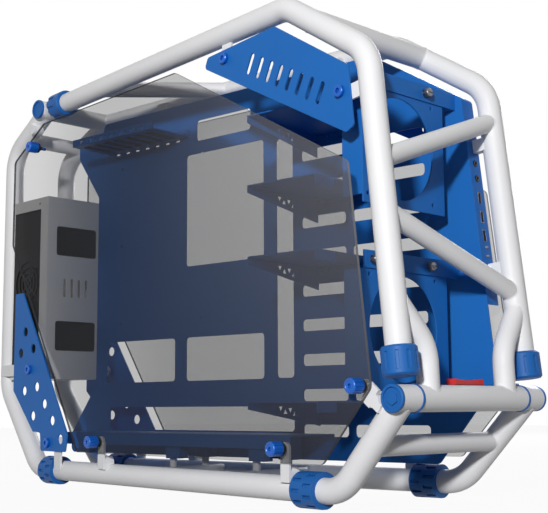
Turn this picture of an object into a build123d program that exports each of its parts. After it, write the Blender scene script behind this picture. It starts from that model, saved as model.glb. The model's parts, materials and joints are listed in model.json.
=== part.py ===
"""Open tubular frame for a desktop computer.

Two side loops of bent steel tube stand on four ring feet and close in towards the rear.
Between them hang a board tray, a slot bracket, a power-supply bracket, drive shelves and
fan brackets of folded sheet. Clear panes cover both sides.

Millimetres. +X is the front, -Y the left side and +Z up. The origin is on the floor under
the middle of the frame.
"""

import os
from math import cos, hypot, radians, sin

from build123d import *

os.makedirs("parts", exist_ok=True)

# Tubes
TUBE_OD = 25.4
TUBE_WALL = 2.0
BRACE_OD = 20.0
STRUT_OD = 22.0
BAR_OD = 21.0
BEND = 45.0
WELD_GAP = 0.1

# Side loops: each has its own upright plane that turns in towards the rear.
# A point there is (distance along the plane from the middle, height).
TOE_IN = 4.3
HALF_MID = 73.4
FLOOR_AXIS = 18.0
TOP_AXIS = 520.0
CROSS_S = -291.0
CROSS_AXIS = 516.0
REAR_S = -384.7
REAR_HIGH_KNEE = 468.0
REAR_LOW_KNEE = 127.0
HEEL_S = -291.0
FRONT_KNEE_S = 302.0
PEAK_S = 227.0
BROW = (347.0, 443.0)
UPRIGHT_END = (381.7, 129.0)
BUMPER = (383.0, 106.3)
BUMPER_HALF = 115.0
REAR_CROSS_OVERHANG = 14.3

# Blue moulded rings
FOOT_LENGTH = 32.0
FOOT_FLAT = 0.25
FOOT_PADS = 10
COLLAR_OD = 35.0
COLLAR_LENGTH = 29.0
COLLAR_GAP = 14.0
RING_FIT = 0.15
CAP_HEIGHT = 28.0
CAP_FLOOR = 2.5
END_CAP_OD = 26.4

# Sheets
SHEET = 1.5
PLATE = 2.0
PANE = 3.0
LUG = 3.0
LUG_WIDTH = 16.0
PANE_OUT = 15.0
TOP_PLATE_OUT = 3.0
TRAY_IN = 22.0
FIT = 0.1

# Tray, in the right loop's plane
TRAY_DROP = 14.0
TRAY_TOP = TOP_AXIS - TRAY_DROP
TRAY_BOTTOM = 37.5
TRAY_REAR = -279.0
SLOT_ROWS = 9
SLOT_PITCH = 41.4
SLOT_TOP = 402.6
SLOT_HEIGHT = 14.0
FRONT_EDGE_GAP = 20.0
STRIP_WIDTH = 21.5
STRIP_LOW = 205.0
PORTS_LOW = 250.0
PORTS_HIGH = 370.0
FLOOR_SHEET = 66.5
FLOOR_DEPTH = 80.0
FLOOR_REAR = -242.0
FLOOR_FRONT = 147.0
FLOOR_LIP = 14.0
FLOOR_FOOT_LOW = 38.0
FLOOR_STEM_OD = 9.0

# Brackets
EXPANSION_PITCH = 20.32
EXPANSION_SLOTS = 7
EXPANSION_DROP = 47.5
EXPANSION_HEIGHT = TRAY_TOP - EXPANSION_DROP
EXPANSION_DEPTH = 69.0
EXPANSION_REAR = -256.0
EXPANSION_FRONT = -94.0
EXPANSION_FIRST = -238.0
SHELF_HEIGHTS = (425.0, 345.0, 264.5, 105.0)
SHELF_DEPTH = 125.7
SHELF_REAR = 125.0
SHELF_FRONT = 223.0
SHELF_WEB_NEAR = 8.5
SHELF_WEB_FAR = 28.0
FAN_FACE_X = 318.0
FAN_CENTRE_Y = -20.0
FAN_CENTRES_Z = (176.0, 362.0)
FAN_HOLE = 107.0
FAN_SCREW_SPACING = 105.0
FAN_LEFT_Y = -80.0
FAN_RIGHT_Y = 53.0
PSU_FRONT_X = -278.0
PSU_DEPTH = 88.0
PSU_LEFT_Y = -55.0
PSU_RIGHT_Y = 32.0
PSU_BOTTOM = 139.0
PSU_TOP = 392.0

# Power button
BUTTON_WIDTH = 48.0
BUTTON_DEPTH = 11.0
BUTTON_HEIGHT = 14.0
BUTTON_TRAVEL = 3.0
BUTTON_FIT = 0.4
HOUSING_WALL = 2.5

loop_along = Vector(cos(radians(TOE_IN)), -sin(radians(TOE_IN)), 0)
loop_out = Vector(-sin(radians(TOE_IN)), -cos(radians(TOE_IN)), 0)
LEFT_LOOP = Plane(origin=(0, -HALF_MID, 0), x_dir=loop_along, z_dir=loop_out)
tray_along = Vector(loop_along.X, -loop_along.Y, 0)
tray_in = Vector(-loop_out.X, loop_out.Y, 0)
TRAY = Plane(origin=Vector(0, HALF_MID, 0) + tray_in * TRAY_IN, x_dir=tray_along, z_dir=tray_in)


def on_loop(along, height, out=0.0):
    """Place of a point of the left loop's plane, moved outwards."""
    return LEFT_LOOP.from_local_coords(Vector(along, height, out))


def toward(start, end, distance):
    """Point on the line from start to end, in a plane."""
    length = hypot(end[0] - start[0], end[1] - start[1])
    share = distance / length
    return (start[0] + (end[0] - start[0]) * share, start[1] + (end[1] - start[1]) * share)


def upright_at(height):
    """Distance along the loop of the front upright's axis at a height."""
    share = (BROW[1] - height) / (BROW[1] - UPRIGHT_END[1])
    return BROW[0] + (UPRIGHT_END[0] - BROW[0]) * share


def keep(piece, name):
    """Label a finished piece and write its file."""
    piece.label = name
    export_step(piece, f"parts/{name}.step")


def mirrored(piece):
    """The piece's twin across the centre plane."""
    with BuildPart() as twin:
        mirror(piece, about=Plane.XZ)
    return twin.part


def keep_pair(piece, name):
    """Write a left piece and its right twin."""
    keep(piece, f"left_{name}")
    keep(mirrored(piece), f"right_{name}")


def both_sides(piece):
    """A left group and its twin as one group."""
    with BuildPart() as group:
        add(piece)
        mirror(piece, about=Plane.XZ)
    return group.part


def bent_tube(plane, points, outer, wall=TUBE_WALL):
    """Tube bent along points of a plane; a wall of zero gives a solid rod."""
    with BuildPart() as piece:
        with BuildLine(plane) as route:
            FilletPolyline(*points, radius=BEND)
        with BuildSketch(Plane(origin=route.line @ 0, z_dir=route.line % 0)):
            Circle(outer / 2)
            if wall:
                Circle(outer / 2 - wall, mode=Mode.SUBTRACT)
        sweep()
    return piece.part


def straight_tube(start, end, outer, wall=TUBE_WALL):
    """Tube between two places; a wall of zero gives a solid rod."""
    run = Vector(*end) - Vector(*start)
    with BuildPart() as piece:
        with BuildSketch(Plane(origin=start, z_dir=run)):
            Circle(outer / 2)
            if wall:
                Circle(outer / 2 - wall, mode=Mode.SUBTRACT)
        extrude(amount=run.length)
    return piece.part


def coped(piece, *mates):
    """The piece with the shape of its mates cut out of it, largest remainder kept."""
    with BuildPart() as cut:
        add(piece)
        for mate in mates:
            add(mate, mode=Mode.SUBTRACT)
    return cut.part.solids().sort_by(SortBy.VOLUME)[-1]


# Routes of the left loop's three tubes
cross_point = (CROSS_S, CROSS_AXIS)
peak_point = (PEAK_S, TOP_AXIS)
rear_foot_s = HEEL_S + 43
front_foot_s = FRONT_KNEE_S - 41
upper_route = (cross_point, peak_point, BROW, UPRIGHT_END)
rear_route = (
    cross_point,
    (REAR_S, REAR_HIGH_KNEE),
    (REAR_S, REAR_LOW_KNEE),
    (HEEL_S, FLOOR_AXIS),
    (rear_foot_s - WELD_GAP, FLOOR_AXIS),
)
bottom_route = ((rear_foot_s + WELD_GAP, FLOOR_AXIS), (FRONT_KNEE_S, FLOOR_AXIS), BUMPER)

core_od = TUBE_OD + 2 * WELD_GAP
upper_core = bent_tube(LEFT_LOOP, upper_route, core_od, wall=0)
rear_core = bent_tube(LEFT_LOOP, rear_route, core_od, wall=0)
bottom_core = bent_tube(LEFT_LOOP, bottom_route, core_od, wall=0)
right_upper_core = mirrored(upper_core)
right_rear_core = mirrored(rear_core)
right_bottom_core = mirrored(bottom_core)

cross_place = on_loop(*cross_point)
bumper_place = on_loop(*BUMPER)
cross_half = -cross_place.Y + REAR_CROSS_OVERHANG
cross_ends = ((cross_place.X, -cross_half, CROSS_AXIS), (cross_place.X, cross_half, CROSS_AXIS))
bumper_ends = (
    (bumper_place.X, -BUMPER_HALF, BUMPER[1]),
    (bumper_place.X, BUMPER_HALF, BUMPER[1]),
)
cross_core = straight_tube(*cross_ends, core_od, wall=0)
bumper_core = straight_tube(*bumper_ends, core_od, wall=0)

# Side loop tubes
keep_pair(coped(bent_tube(LEFT_LOOP, upper_route, TUBE_OD), cross_core), "upper_tube")
keep_pair(coped(bent_tube(LEFT_LOOP, rear_route, TUBE_OD), cross_core, upper_core), "rear_tube")
keep_pair(coped(bent_tube(LEFT_LOOP, bottom_route, TUBE_OD), bumper_core), "bottom_tube")

# Tubes that run across
keep(straight_tube(*bumper_ends, TUBE_OD), "front_bumper_tube")
keep(straight_tube(*cross_ends, TUBE_OD), "rear_top_cross_tube")


def cross_tube(along, height, outer, *mates):
    """Tube straight across between the loops, coped to both."""
    left = on_loop(along, height)
    piece = straight_tube(left, (left.X, -left.Y, left.Z), outer)
    return coped(piece, *mates)


top_cross_point = toward(peak_point, BROW, 44)
low_cross_point = toward((FRONT_KNEE_S, FLOOR_AXIS), BUMPER, 60)
rear_bar_point = toward(cross_point, (REAR_S, REAR_HIGH_KNEE), 66)
keep(cross_tube(*top_cross_point, TUBE_OD, upper_core, right_upper_core), "top_front_cross_tube")
keep(cross_tube(*low_cross_point, BRACE_OD, bottom_core, right_bottom_core), "lower_front_cross_tube")
keep(cross_tube(*rear_bar_point, BAR_OD, rear_core, right_rear_core), "rear_cross_bar")

# Diagonal brace between the upper tubes
top_brace_left = toward(cross_point, peak_point, 135)
top_brace_right = toward(cross_point, peak_point, 253)
top_brace_start = on_loop(*top_brace_left)
top_brace_twin = on_loop(*top_brace_right)
top_brace_end = (top_brace_twin.X, -top_brace_twin.Y, top_brace_twin.Z)
top_brace = straight_tube(top_brace_start, top_brace_end, BRACE_OD)
keep(coped(top_brace, upper_core, right_upper_core), "top_brace")

floor_cross_s = (-45.0, 92.0)
floor_foot_inward = (16.0, FLOOR_DEPTH - 12)
for name, along in zip(("rear", "front"), floor_cross_s):
    bar = cross_tube(along, FLOOR_AXIS, BRACE_OD, bottom_core, right_bottom_core)
    bar_x = on_loop(along, FLOOR_AXIS).X
    with BuildPart() as floor_tube:
        add(bar)
        for inward in floor_foot_inward:
            stem_y = TRAY.from_local_coords(Vector(along, 0, inward)).Y
            stem_low = FLOOR_AXIS + BRACE_OD / 2 - 0.8 * TUBE_WALL
            with Locations((bar_x, stem_y, stem_low)):
                Cylinder(
                    FLOOR_STEM_OD / 2,
                    FLOOR_FOOT_LOW - stem_low,
                    align=(Align.CENTER, Align.CENTER, Align.MIN),
                )
    keep(floor_tube.part, f"floor_cross_tube_{name}")


# Front braces rise or fall from one upright to the other
def front_brace(left_height, right_height):
    """Slanted tube between the uprights, coped to both."""
    left = on_loop(upright_at(left_height), left_height)
    right = on_loop(upright_at(right_height), right_height)
    piece = straight_tube(left, (right.X, -right.Y, right.Z), BRACE_OD)
    return coped(piece, upper_core, right_upper_core)


keep(front_brace(333.0, 406.0), "upper_front_brace")
keep(front_brace(283.0, 216.0), "lower_front_brace")

# Bent struts from the bumper up and out to the uprights
STRUT_Y = -63.0
strut_low = Vector(bumper_place.X, STRUT_Y, BUMPER[1])
strut_knee = Vector(bumper_place.X - 2, STRUT_Y, 155.0)
strut_high = on_loop(upright_at(201.0), 201.0)
strut_plane = Plane(
    origin=strut_low,
    x_dir=strut_knee - strut_low,
    z_dir=(strut_knee - strut_low).cross(strut_high - strut_knee),
)
strut_route = [
    (local.X, local.Y)
    for local in (strut_plane.to_local_coords(place) for place in (strut_low, strut_knee, strut_high))
]
strut = bent_tube(strut_plane, strut_route, STRUT_OD)
keep_pair(coped(strut, bumper_core, upper_core), "bumper_strut")


# Ring feet with staggered tread pads, and the collar behind the rear joint
def ring_plane(along, height):
    """Plane across the tube, with its own X pointing down."""
    return Plane(origin=on_loop(along, height), x_dir=(0, 0, -1), z_dir=loop_along)


def foot(along):
    """Ring foot round the bottom tube, flat where it meets the floor."""
    outer = FLOOR_AXIS + FOOT_FLAT
    row = FOOT_LENGTH / 2
    pad_gap = 3.4
    pad_depth = 2.2
    with BuildPart(ring_plane(along, FLOOR_AXIS)) as piece:
        Cylinder(outer, FOOT_LENGTH)
        Cylinder(TUBE_OD / 2 + RING_FIT, FOOT_LENGTH, mode=Mode.SUBTRACT)
        for side, turn in ((-1, 0.5), (1, 1.0)):
            with Locations((0, 0, side * row / 2)):
                with PolarLocations(outer, FOOT_PADS, start_angle=turn * 360 / FOOT_PADS):
                    Box(2 * pad_depth, pad_gap, row * 0.72, mode=Mode.SUBTRACT)
        split(bisect_by=Plane.XY)
    return piece.part


keep_pair(foot(rear_foot_s), "rear_foot")
keep_pair(foot(front_foot_s), "front_foot")

collar_start = on_loop(*toward(cross_point, peak_point, TUBE_OD / 2 + COLLAR_GAP))
upper_run = on_loop(*peak_point) - on_loop(*cross_point)
groove_length = COLLAR_LENGTH * 0.6
with BuildPart(Plane(origin=collar_start, x_dir=loop_out, z_dir=upper_run)) as collar:
    with Locations((0, 0, COLLAR_LENGTH / 2)):
        Cylinder(COLLAR_OD / 2, COLLAR_LENGTH)
    chamfer(collar.edges().filter_by(GeomType.CIRCLE), 1.2)
    with Locations((0, 0, COLLAR_LENGTH / 2)):
        Cylinder(TUBE_OD / 2 + RING_FIT, COLLAR_LENGTH, mode=Mode.SUBTRACT)
    with Locations((0, 0, groove_length / 2)):
        with PolarLocations(COLLAR_OD / 2, 8, start_angle=22.5):
            Box(3.4, 5.0, groove_length, mode=Mode.SUBTRACT)
keep(collar.part, "rear_collars")

# Upright caps: closed, grooved, hanging clear of the bumper
upright_run = on_loop(*UPRIGHT_END) - on_loop(*BROW)
cap_end = Plane(origin=on_loop(*UPRIGHT_END), x_dir=loop_out, z_dir=-upright_run)
with BuildPart(cap_end.offset(-CAP_FLOOR - RING_FIT)) as upright_cap:
    with Locations((0, 0, CAP_HEIGHT / 2)):
        Cylinder(COLLAR_OD / 2, CAP_HEIGHT)
    chamfer(upright_cap.edges().filter_by(GeomType.CIRCLE), 2.0)
    with Locations((0, 0, CAP_HEIGHT / 2 + CAP_FLOOR)):
        Cylinder(TUBE_OD / 2 + RING_FIT, CAP_HEIGHT, mode=Mode.SUBTRACT)
    with Locations((0, 0, CAP_HEIGHT / 2)):
        with PolarLocations(COLLAR_OD / 2, 10):
            Box(1.8, 3.2, CAP_HEIGHT - 11, mode=Mode.SUBTRACT)
keep(both_sides(upright_cap.part), "upright_caps")


# Push-in end caps of the straight tubes: a rim and a sunk face, with a hexagon boss on the bumper's
def end_cap(place, boss):
    """Cap on a tube end that faces left; the boss is a hexagon's radius, or zero for none."""
    rim = 3.4
    plug = 9.0
    sink = 1.6
    with BuildPart(Plane(origin=place, x_dir=(0, 0, 1), z_dir=(0, -1, 0))) as piece:
        with Locations((0, 0, rim / 2)):
            Cylinder(END_CAP_OD / 2, rim)
        fillet(piece.edges().filter_by(GeomType.CIRCLE).sort_by(Axis.Y)[0], 1.2)
        with Locations((0, 0, -plug / 2)):
            Cylinder(TUBE_OD / 2 - TUBE_WALL - FIT, plug)
        with Locations((0, 0, rim - sink / 2)):
            Cylinder(END_CAP_OD / 2 - 3, sink, mode=Mode.SUBTRACT)
        if boss:
            with BuildSketch(piece.workplanes[0].offset(rim - sink)):
                RegularPolygon(boss, 6)
            extrude(amount=sink - 0.2)
    return piece.part


keep(both_sides(end_cap(bumper_ends[0], boss=6.5)), "bumper_caps")
keep(both_sides(end_cap(cross_ends[0], boss=0)), "rear_cross_caps")

with BuildPart() as band:
    band_place = (bumper_place.X, -BUMPER_HALF + 27, BUMPER[1])
    with BuildSketch(Plane(origin=band_place, z_dir=(0, 1, 0))):
        Circle(TUBE_OD / 2 + 0.9)
        Circle(TUBE_OD / 2 + WELD_GAP, mode=Mode.SUBTRACT)
    extrude(amount=2.2)
keep(both_sides(coped(band.part, bottom_core)), "bumper_bands")

# Clear panes, inset from the tubes
pane_outline = [
    (REAR_S + 32, 329.0),
    (REAR_S + 32, 450.0),
    (-270.0, CROSS_AXIS - 25),
    (45.0, TOP_AXIS - 31),
    (upright_at(334.0) - 26, 334.0),
    (upright_at(116.0) - 24, 116.0),
    (FRONT_KNEE_S - 9, FLOOR_AXIS + 26),
    (-166.0, FLOOR_AXIS + 26),
]
# Room kept free round the bumper and its end caps
bumper_clear = straight_tube(
    (bumper_place.X, -BUMPER_HALF - 20, BUMPER[1]),
    (bumper_place.X, 0, BUMPER[1]),
    END_CAP_OD + 1,
    wall=0,
)
# Each tab: its screw's place, and the point on a tube's axis that it grows from
low_slant = (FRONT_KNEE_S, FLOOR_AXIS), BUMPER
pane_tabs = (
    ((-281.0, 458.0), toward(cross_point, (REAR_S, REAR_HIGH_KNEE), 31), rear_core),
    ((-112.0, 58.0), (-110.0, FLOOR_AXIS), bottom_core),
    ((235.0, 58.0), (235.0, FLOOR_AXIS), bottom_core),
    ((349.0, 118.0), toward(*low_slant, 100), bottom_core),
)
PANE_SCREW = 5.0
TAB_WIDTH = 13.0

with BuildPart() as pane:
    with BuildSketch(LEFT_LOOP.offset(PANE_OUT)) as pane_face:
        with BuildLine():
            Polyline(*pane_outline, close=True)
        make_face()
        fillet(pane_face.vertices(), 9)
        with Locations(*[screw for screw, _, _ in pane_tabs]):
            Circle(PANE_SCREW / 2 + 0.5, mode=Mode.SUBTRACT)
    extrude(amount=PANE)
keep_pair(pane.part, "pane")


def strip_between(root, tip, width):
    """Flat strip from root to tip with a round end, as a sketch in the current plane."""
    reach = hypot(tip[0] - root[0], tip[1] - root[1])
    turn = Vector(tip[0] - root[0], tip[1] - root[1], 0).get_signed_angle(Vector(1, 0, 0))
    middle = ((root[0] + tip[0]) / 2, (root[1] + tip[1]) / 2)
    with Locations(Location((*middle, 0), (0, 0, -turn))):
        Rectangle(reach, width)
    with Locations(tip):
        Circle(width / 2)


def pane_tab(screw, root, mate):
    """Bent tab: a strip behind the pane and a block that sits on the tube."""
    strip_root = toward(root, screw, TUBE_OD / 2)
    block_root = toward(root, screw, TUBE_OD / 2 - 6)
    block_tip = toward(root, screw, TUBE_OD / 2 + 3)
    with BuildPart() as piece:
        with BuildSketch(LEFT_LOOP.offset(PANE_OUT - LUG)):
            strip_between(strip_root, screw, TAB_WIDTH)
            with Locations(screw):
                Circle(PANE_SCREW / 2 + FIT, mode=Mode.SUBTRACT)
        extrude(amount=LUG)
        with BuildSketch(LEFT_LOOP):
            strip_between(block_root, block_tip, TAB_WIDTH)
        extrude(amount=PANE_OUT)
    return coped(piece.part, mate, bumper_clear)


with BuildPart() as tab_group:
    for tab in pane_tabs:
        add(pane_tab(*tab))
keep(both_sides(tab_group.part), "pane_tabs")


def thumb_screw(screw):
    """Fluted thumb screw through a pane and its tab."""
    neck = 4.0
    head = 13.0
    head_od = 15.0
    seat = PANE_OUT + PANE + FIT
    with BuildPart(LEFT_LOOP) as piece:
        with Locations((*screw, PANE_OUT - LUG - 4)):
            Cylinder(PANE_SCREW / 2, LUG + PANE + 5, align=(Align.CENTER, Align.CENTER, Align.MIN))
        with Locations((*screw, seat)):
            Cylinder(head_od * 0.4, neck, align=(Align.CENTER, Align.CENTER, Align.MIN))
        with Locations((*screw, seat + neck)):
            Cylinder(head_od / 2, head, align=(Align.CENTER, Align.CENTER, Align.MIN))
        chamfer(piece.edges().filter_by(GeomType.CIRCLE).group_by(SortBy.RADIUS)[-1], 1.0)
        with Locations((*screw, seat + neck + head / 2)):
            with PolarLocations(head_od / 2, 12):
                Box(1.8, 1.8, head, rotation=(0, 0, 45), mode=Mode.SUBTRACT)
    return piece.part


with BuildPart() as screw_group:
    for screw, _, _ in pane_tabs:
        add(thumb_screw(screw))
keep(both_sides(screw_group.part), "pane_screws")

# Top plates under the peak, on lugs from the tubes
top_plate_outline = [
    (87.0, TOP_AXIS - 34),
    (93.0, TOP_AXIS - 22),
    (211.0, TOP_AXIS - 16.5),
    (323.0, BROW[1] - 9),
    (upright_at(371.0) - 25, BROW[1] - 72),
    (upright_at(366.0) - 36, BROW[1] - 77),
]
top_bolts = (
    ((125.0, TOP_AXIS - 31), (125.0, TOP_AXIS)),
    ((312.0, BROW[1] - 34), (upright_at(BROW[1] - 38), BROW[1] - 38)),
)
TOP_BOLT = 6.0
vent_slant = -27.3
vent_slots = 8
vent_pitch = 18.0
vent_middle = (226.0, 443.0)

with BuildPart() as top_plate:
    with BuildSketch(LEFT_LOOP.offset(TOP_PLATE_OUT)) as top_face:
        with BuildLine():
            Polyline(*top_plate_outline, close=True)
        make_face()
        fillet(top_face.vertices(), 5)
        with Locations(*[bolt for bolt, _ in top_bolts]):
            Circle(TOP_BOLT / 2 + FIT, mode=Mode.SUBTRACT)
        with Locations(Location((*vent_middle, 0), (0, 0, vent_slant))):
            with GridLocations(vent_pitch, 1, vent_slots, 1):
                SlotOverall(24, 6.5, rotation=90, mode=Mode.SUBTRACT)
    extrude(amount=PLATE)
keep_pair(top_plate.part, "top_plate")

with BuildPart() as top_lugs:
    for bolt, root in top_bolts:
        with BuildPart(mode=Mode.PRIVATE) as lug:
            with BuildSketch(LEFT_LOOP.offset(TOP_PLATE_OUT - LUG)):
                strip_between(root, bolt, LUG_WIDTH)
                with Locations(bolt):
                    Circle(TOP_BOLT / 2 + FIT, mode=Mode.SUBTRACT)
            extrude(amount=LUG)
        add(coped(lug.part, upper_core))


def plate_bolt(bolt, seat, grip):
    """Low socket bolt with its nut; the seat is the outer face it presses on."""
    head = 4.5
    nut = 3.0
    shank = TOP_BOLT / 2
    bottom = (Align.CENTER, Align.CENTER, Align.MIN)
    with BuildPart(LEFT_LOOP) as piece:
        with Locations((*bolt, seat - grip - nut)):
            Cylinder(shank, grip + nut, align=bottom)
        with Locations((*bolt, seat)):
            Cylinder(shank * 2.1, head, align=bottom)
        chamfer(piece.edges().filter_by(GeomType.CIRCLE).group_by(SortBy.RADIUS)[-1], 0.8)
        with BuildSketch(LEFT_LOOP.offset(seat + head)):
            with Locations(bolt):
                RegularPolygon(3.2, 6)
        extrude(amount=-2.6, mode=Mode.SUBTRACT)
        with BuildSketch(LEFT_LOOP.offset(seat - grip)):
            with Locations(bolt):
                RegularPolygon(5.4, 6)
        extrude(amount=-nut)
    return piece.part


# Rear gussets, pierced, on the outer side of the rear tubes
gusset_out = TUBE_OD / 2 + 0.2
heel_clear = FLOOR_AXIS + 25
gusset_outline = [
    (REAR_S + 40, 259.0),
    (REAR_S + 40, REAR_LOW_KNEE - 3),
    (HEEL_S + 5, FLOOR_AXIS + 50),
    (HEEL_S + 25, FLOOR_AXIS + 49),
    (HEEL_S + 28, heel_clear),
    (HEEL_S + 92, heel_clear),
    (HEEL_S + 97, FLOOR_AXIS + 47),
    (REAR_S + 62, 259.0),
]
gusset_holes = (
    (-313.0, 204.0),
    (-325.0, 175.0),
    (-290.0, 180.0),
    (-313.0, 123.0),
    (-278.0, 128.0),
    (-256.0, 105.0),
    (-287.0, 89.0),
    (-234.0, 83.0),
    (-212.0, 59.0),
)
GUSSET_HOLE = 13.0
gusset_bolts = ((-299.0, 152.0), (-244.0, 54.0))

with BuildPart() as gusset:
    with BuildSketch(LEFT_LOOP.offset(gusset_out)) as gusset_face:
        with BuildLine():
            Polyline(*gusset_outline, close=True)
        make_face()
        fillet(gusset_face.vertices(), 3.5)
        with Locations(*gusset_holes):
            Circle(GUSSET_HOLE / 2, mode=Mode.SUBTRACT)
        with Locations(*gusset_bolts):
            Circle(TOP_BOLT / 2 + FIT, mode=Mode.SUBTRACT)
    extrude(amount=PLATE)
keep_pair(gusset.part, "gusset")

# Lugs that carry each gusset: one on the rear tube, one in front of the rear foot
lug_out = gusset_out - LUG
foot_front = rear_foot_s + FOOT_LENGTH / 2 + 2
low_lug_outline = [
    (gusset_bolts[1][0] - 9, gusset_bolts[1][1] - 8),
    (gusset_bolts[1][0] - 9, gusset_bolts[1][1] + 8),
    (foot_front + 16, gusset_bolts[1][1] + 8),
    (foot_front + 16, FLOOR_AXIS),
    (foot_front, FLOOR_AXIS),
    (foot_front, gusset_bolts[1][1] - 8),
]
with BuildPart() as low_lug:
    with BuildSketch(LEFT_LOOP.offset(lug_out)):
        with BuildLine():
            Polyline(*low_lug_outline, close=True)
        make_face()
        with Locations(gusset_bolts[1]):
            Circle(TOP_BOLT / 2 + FIT, mode=Mode.SUBTRACT)
    extrude(amount=LUG)
with BuildPart() as high_lug:
    with BuildSketch(LEFT_LOOP.offset(lug_out)):
        strip_between((REAR_S, gusset_bolts[0][1]), gusset_bolts[0], LUG_WIDTH)
        with Locations(gusset_bolts[0]):
            Circle(TOP_BOLT / 2 + FIT, mode=Mode.SUBTRACT)
    extrude(amount=LUG)
with BuildPart() as plate_lugs:
    add(top_lugs.part)
    add(coped(low_lug.part, bottom_core))
    add(coped(high_lug.part, rear_core))
keep(both_sides(plate_lugs.part), "plate_lugs")

with BuildPart() as bolt_group:
    for bolt, _ in top_bolts:
        add(plate_bolt(bolt, TOP_PLATE_OUT + PLATE, PLATE + LUG))
    for bolt in gusset_bolts:
        add(plate_bolt(bolt, gusset_out + PLATE, PLATE + LUG))
keep(both_sides(bolt_group.part), "plate_bolts")


# Board tray, parallel to the right loop
def front_edge(height):
    """Distance along the tray of its front edge, a little behind the upright."""
    return upright_at(height) - FRONT_EDGE_GAP


tray_outline = [
    (TRAY_REAR - 52, TRAY_BOTTOM),
    (TRAY_REAR - 52, TRAY_BOTTOM + 26),
    (TRAY_REAR, 131.0),
    (TRAY_REAR, 400.0),
    (TRAY_REAR - 45, 462.0),
    (TRAY_REAR - 45, CROSS_AXIS - 26),
    (CROSS_S + 18, CROSS_AXIS - 26),
    (CROSS_S + 24, TRAY_TOP),
    (PEAK_S - 18, TRAY_TOP),
    (front_edge(BROW[1] - 10), BROW[1] - 10),
    (front_edge(125.0), 125.0),
    (FRONT_KNEE_S - 13, TRAY_BOTTOM),
]
tray_windows = (
    # rear end, front end, low edge, high edge
    (-80.0, 17.0, 451.0, 479.0),
    (-99.0, 39.0, 284.0, 434.0),
    (60.0, 87.0, 134.0, 430.0),
    (-257.0, -119.0, 133.5, 190.0),
    (-98.0, 39.0, 133.5, 190.0),
    (-248.0, 87.0, 70.0, 100.0),
)
slot_columns = ((101.0, 168.0), (178.0, 279.0))
board_holes = [(-228 + 157.5 * i, 214 + 110 * j) for i in range(2) for j in range(3)]

ports_low = (front_edge(PORTS_LOW), PORTS_LOW)
ports_high = (front_edge(PORTS_HIGH), PORTS_HIGH)
strip_up = Vector(ports_high[0] - ports_low[0], PORTS_HIGH - PORTS_LOW, 0).normalized()
strip_plane = Plane(
    origin=TRAY.from_local_coords(Vector(*ports_low, 0)),
    x_dir=-tray_in,
    z_dir=tray_along * strip_up.Y + Vector(0, 0, -strip_up.X),
)
port_x = STRIP_WIDTH / 2
ports_length = (Vector(*ports_high) - Vector(*ports_low)).length
strip_sign = 1 if strip_plane.y_dir.Z > 0 else -1
jack_marks = (111.0, 94.0)
usb_marks = (72.0, 51.0, 30.0)
light_marks = (17.5, 8.0)
JACK_OD = 7.0
USB_SIZE = (5.6, 13.0)


def strip_point(mark):
    """Point of the port strip at a distance above the ports' lower end."""
    return (port_x, strip_sign * mark)


slot_centres = [EXPANSION_FIRST + EXPANSION_PITCH * index for index in range(EXPANSION_SLOTS)]
TRAY_CORNER = 8.0
strip_rear = PEAK_S + 15

with BuildPart() as tray:
    with BuildSketch(TRAY) as tray_face:
        with BuildLine():
            Polyline(*tray_outline, close=True)
        make_face()
        fillet(tray_face.vertices(), TRAY_CORNER)
        for rear, front, low, high in tray_windows:
            with Locations(((rear + front) / 2, (low + high) / 2)):
                RectangleRounded(front - rear, high - low, 5, mode=Mode.SUBTRACT)
        for rear, front in slot_columns:
            for row in range(SLOT_ROWS):
                with Locations(((rear + front) / 2, SLOT_TOP - row * SLOT_PITCH)):
                    RectangleRounded(front - rear, SLOT_HEIGHT, 4.5, mode=Mode.SUBTRACT)
        with Locations(*board_holes):
            Circle(1.8, mode=Mode.SUBTRACT)
        with Locations(*[(centre, EXPANSION_HEIGHT - 2) for centre in slot_centres]):
            Rectangle(8, 2.6, mode=Mode.SUBTRACT)
    extrude(amount=SHEET)
    # Flange folded away from the board, down the sloping brow and the front edge
    with BuildSketch(TRAY) as strip:
        with BuildLine():
            Polyline(*tray_outline, close=True)
        make_face()
        fillet(strip.vertices(), TRAY_CORNER)
        offset(amount=-SHEET, mode=Mode.SUBTRACT)
        with Locations((strip_rear, STRIP_LOW)):
            Rectangle(2 * HALF_MID, TRAY_TOP, align=(Align.MIN, Align.MIN), mode=Mode.INTERSECT)
    extrude(amount=-STRIP_WIDTH)
    with BuildSketch(strip_plane):
        with Locations(*[strip_point(mark) for mark in jack_marks]):
            Circle(JACK_OD / 2 + FIT)
        with Locations(*[strip_point(mark) for mark in usb_marks]):
            Rectangle(USB_SIZE[0] + 2 * FIT, USB_SIZE[1] + 2 * FIT)
        with Locations(*[strip_point(mark) for mark in light_marks]):
            Circle(1.4)
    extrude(amount=-2 * SHEET, mode=Mode.SUBTRACT)
keep(tray.part, "board_tray")

# Front ports: shells through the strip, on a small board behind it
PORT_DEPTH = 12.0
with BuildPart() as jacks:
    with BuildSketch(strip_plane.offset(0.6)):
        with Locations(*[strip_point(mark) for mark in jack_marks]):
            Circle(JACK_OD / 2)
            Circle(1.8, mode=Mode.SUBTRACT)
    extrude(amount=-PORT_DEPTH - 0.6)
keep(jacks.part, "audio_jacks")

with BuildPart() as usb:
    with BuildSketch(strip_plane.offset(0.4)):
        with Locations(*[strip_point(mark) for mark in usb_marks]):
            Rectangle(*USB_SIZE)
    extrude(amount=-PORT_DEPTH - 0.4)
    with BuildSketch(strip_plane.offset(0.4)):
        with Locations(*[strip_point(mark) for mark in usb_marks]):
            Rectangle(USB_SIZE[0] - 1.2, USB_SIZE[1] - 1.2)
    extrude(amount=-PORT_DEPTH + 2, mode=Mode.SUBTRACT)
keep(usb.part, "usb_ports")

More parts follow.
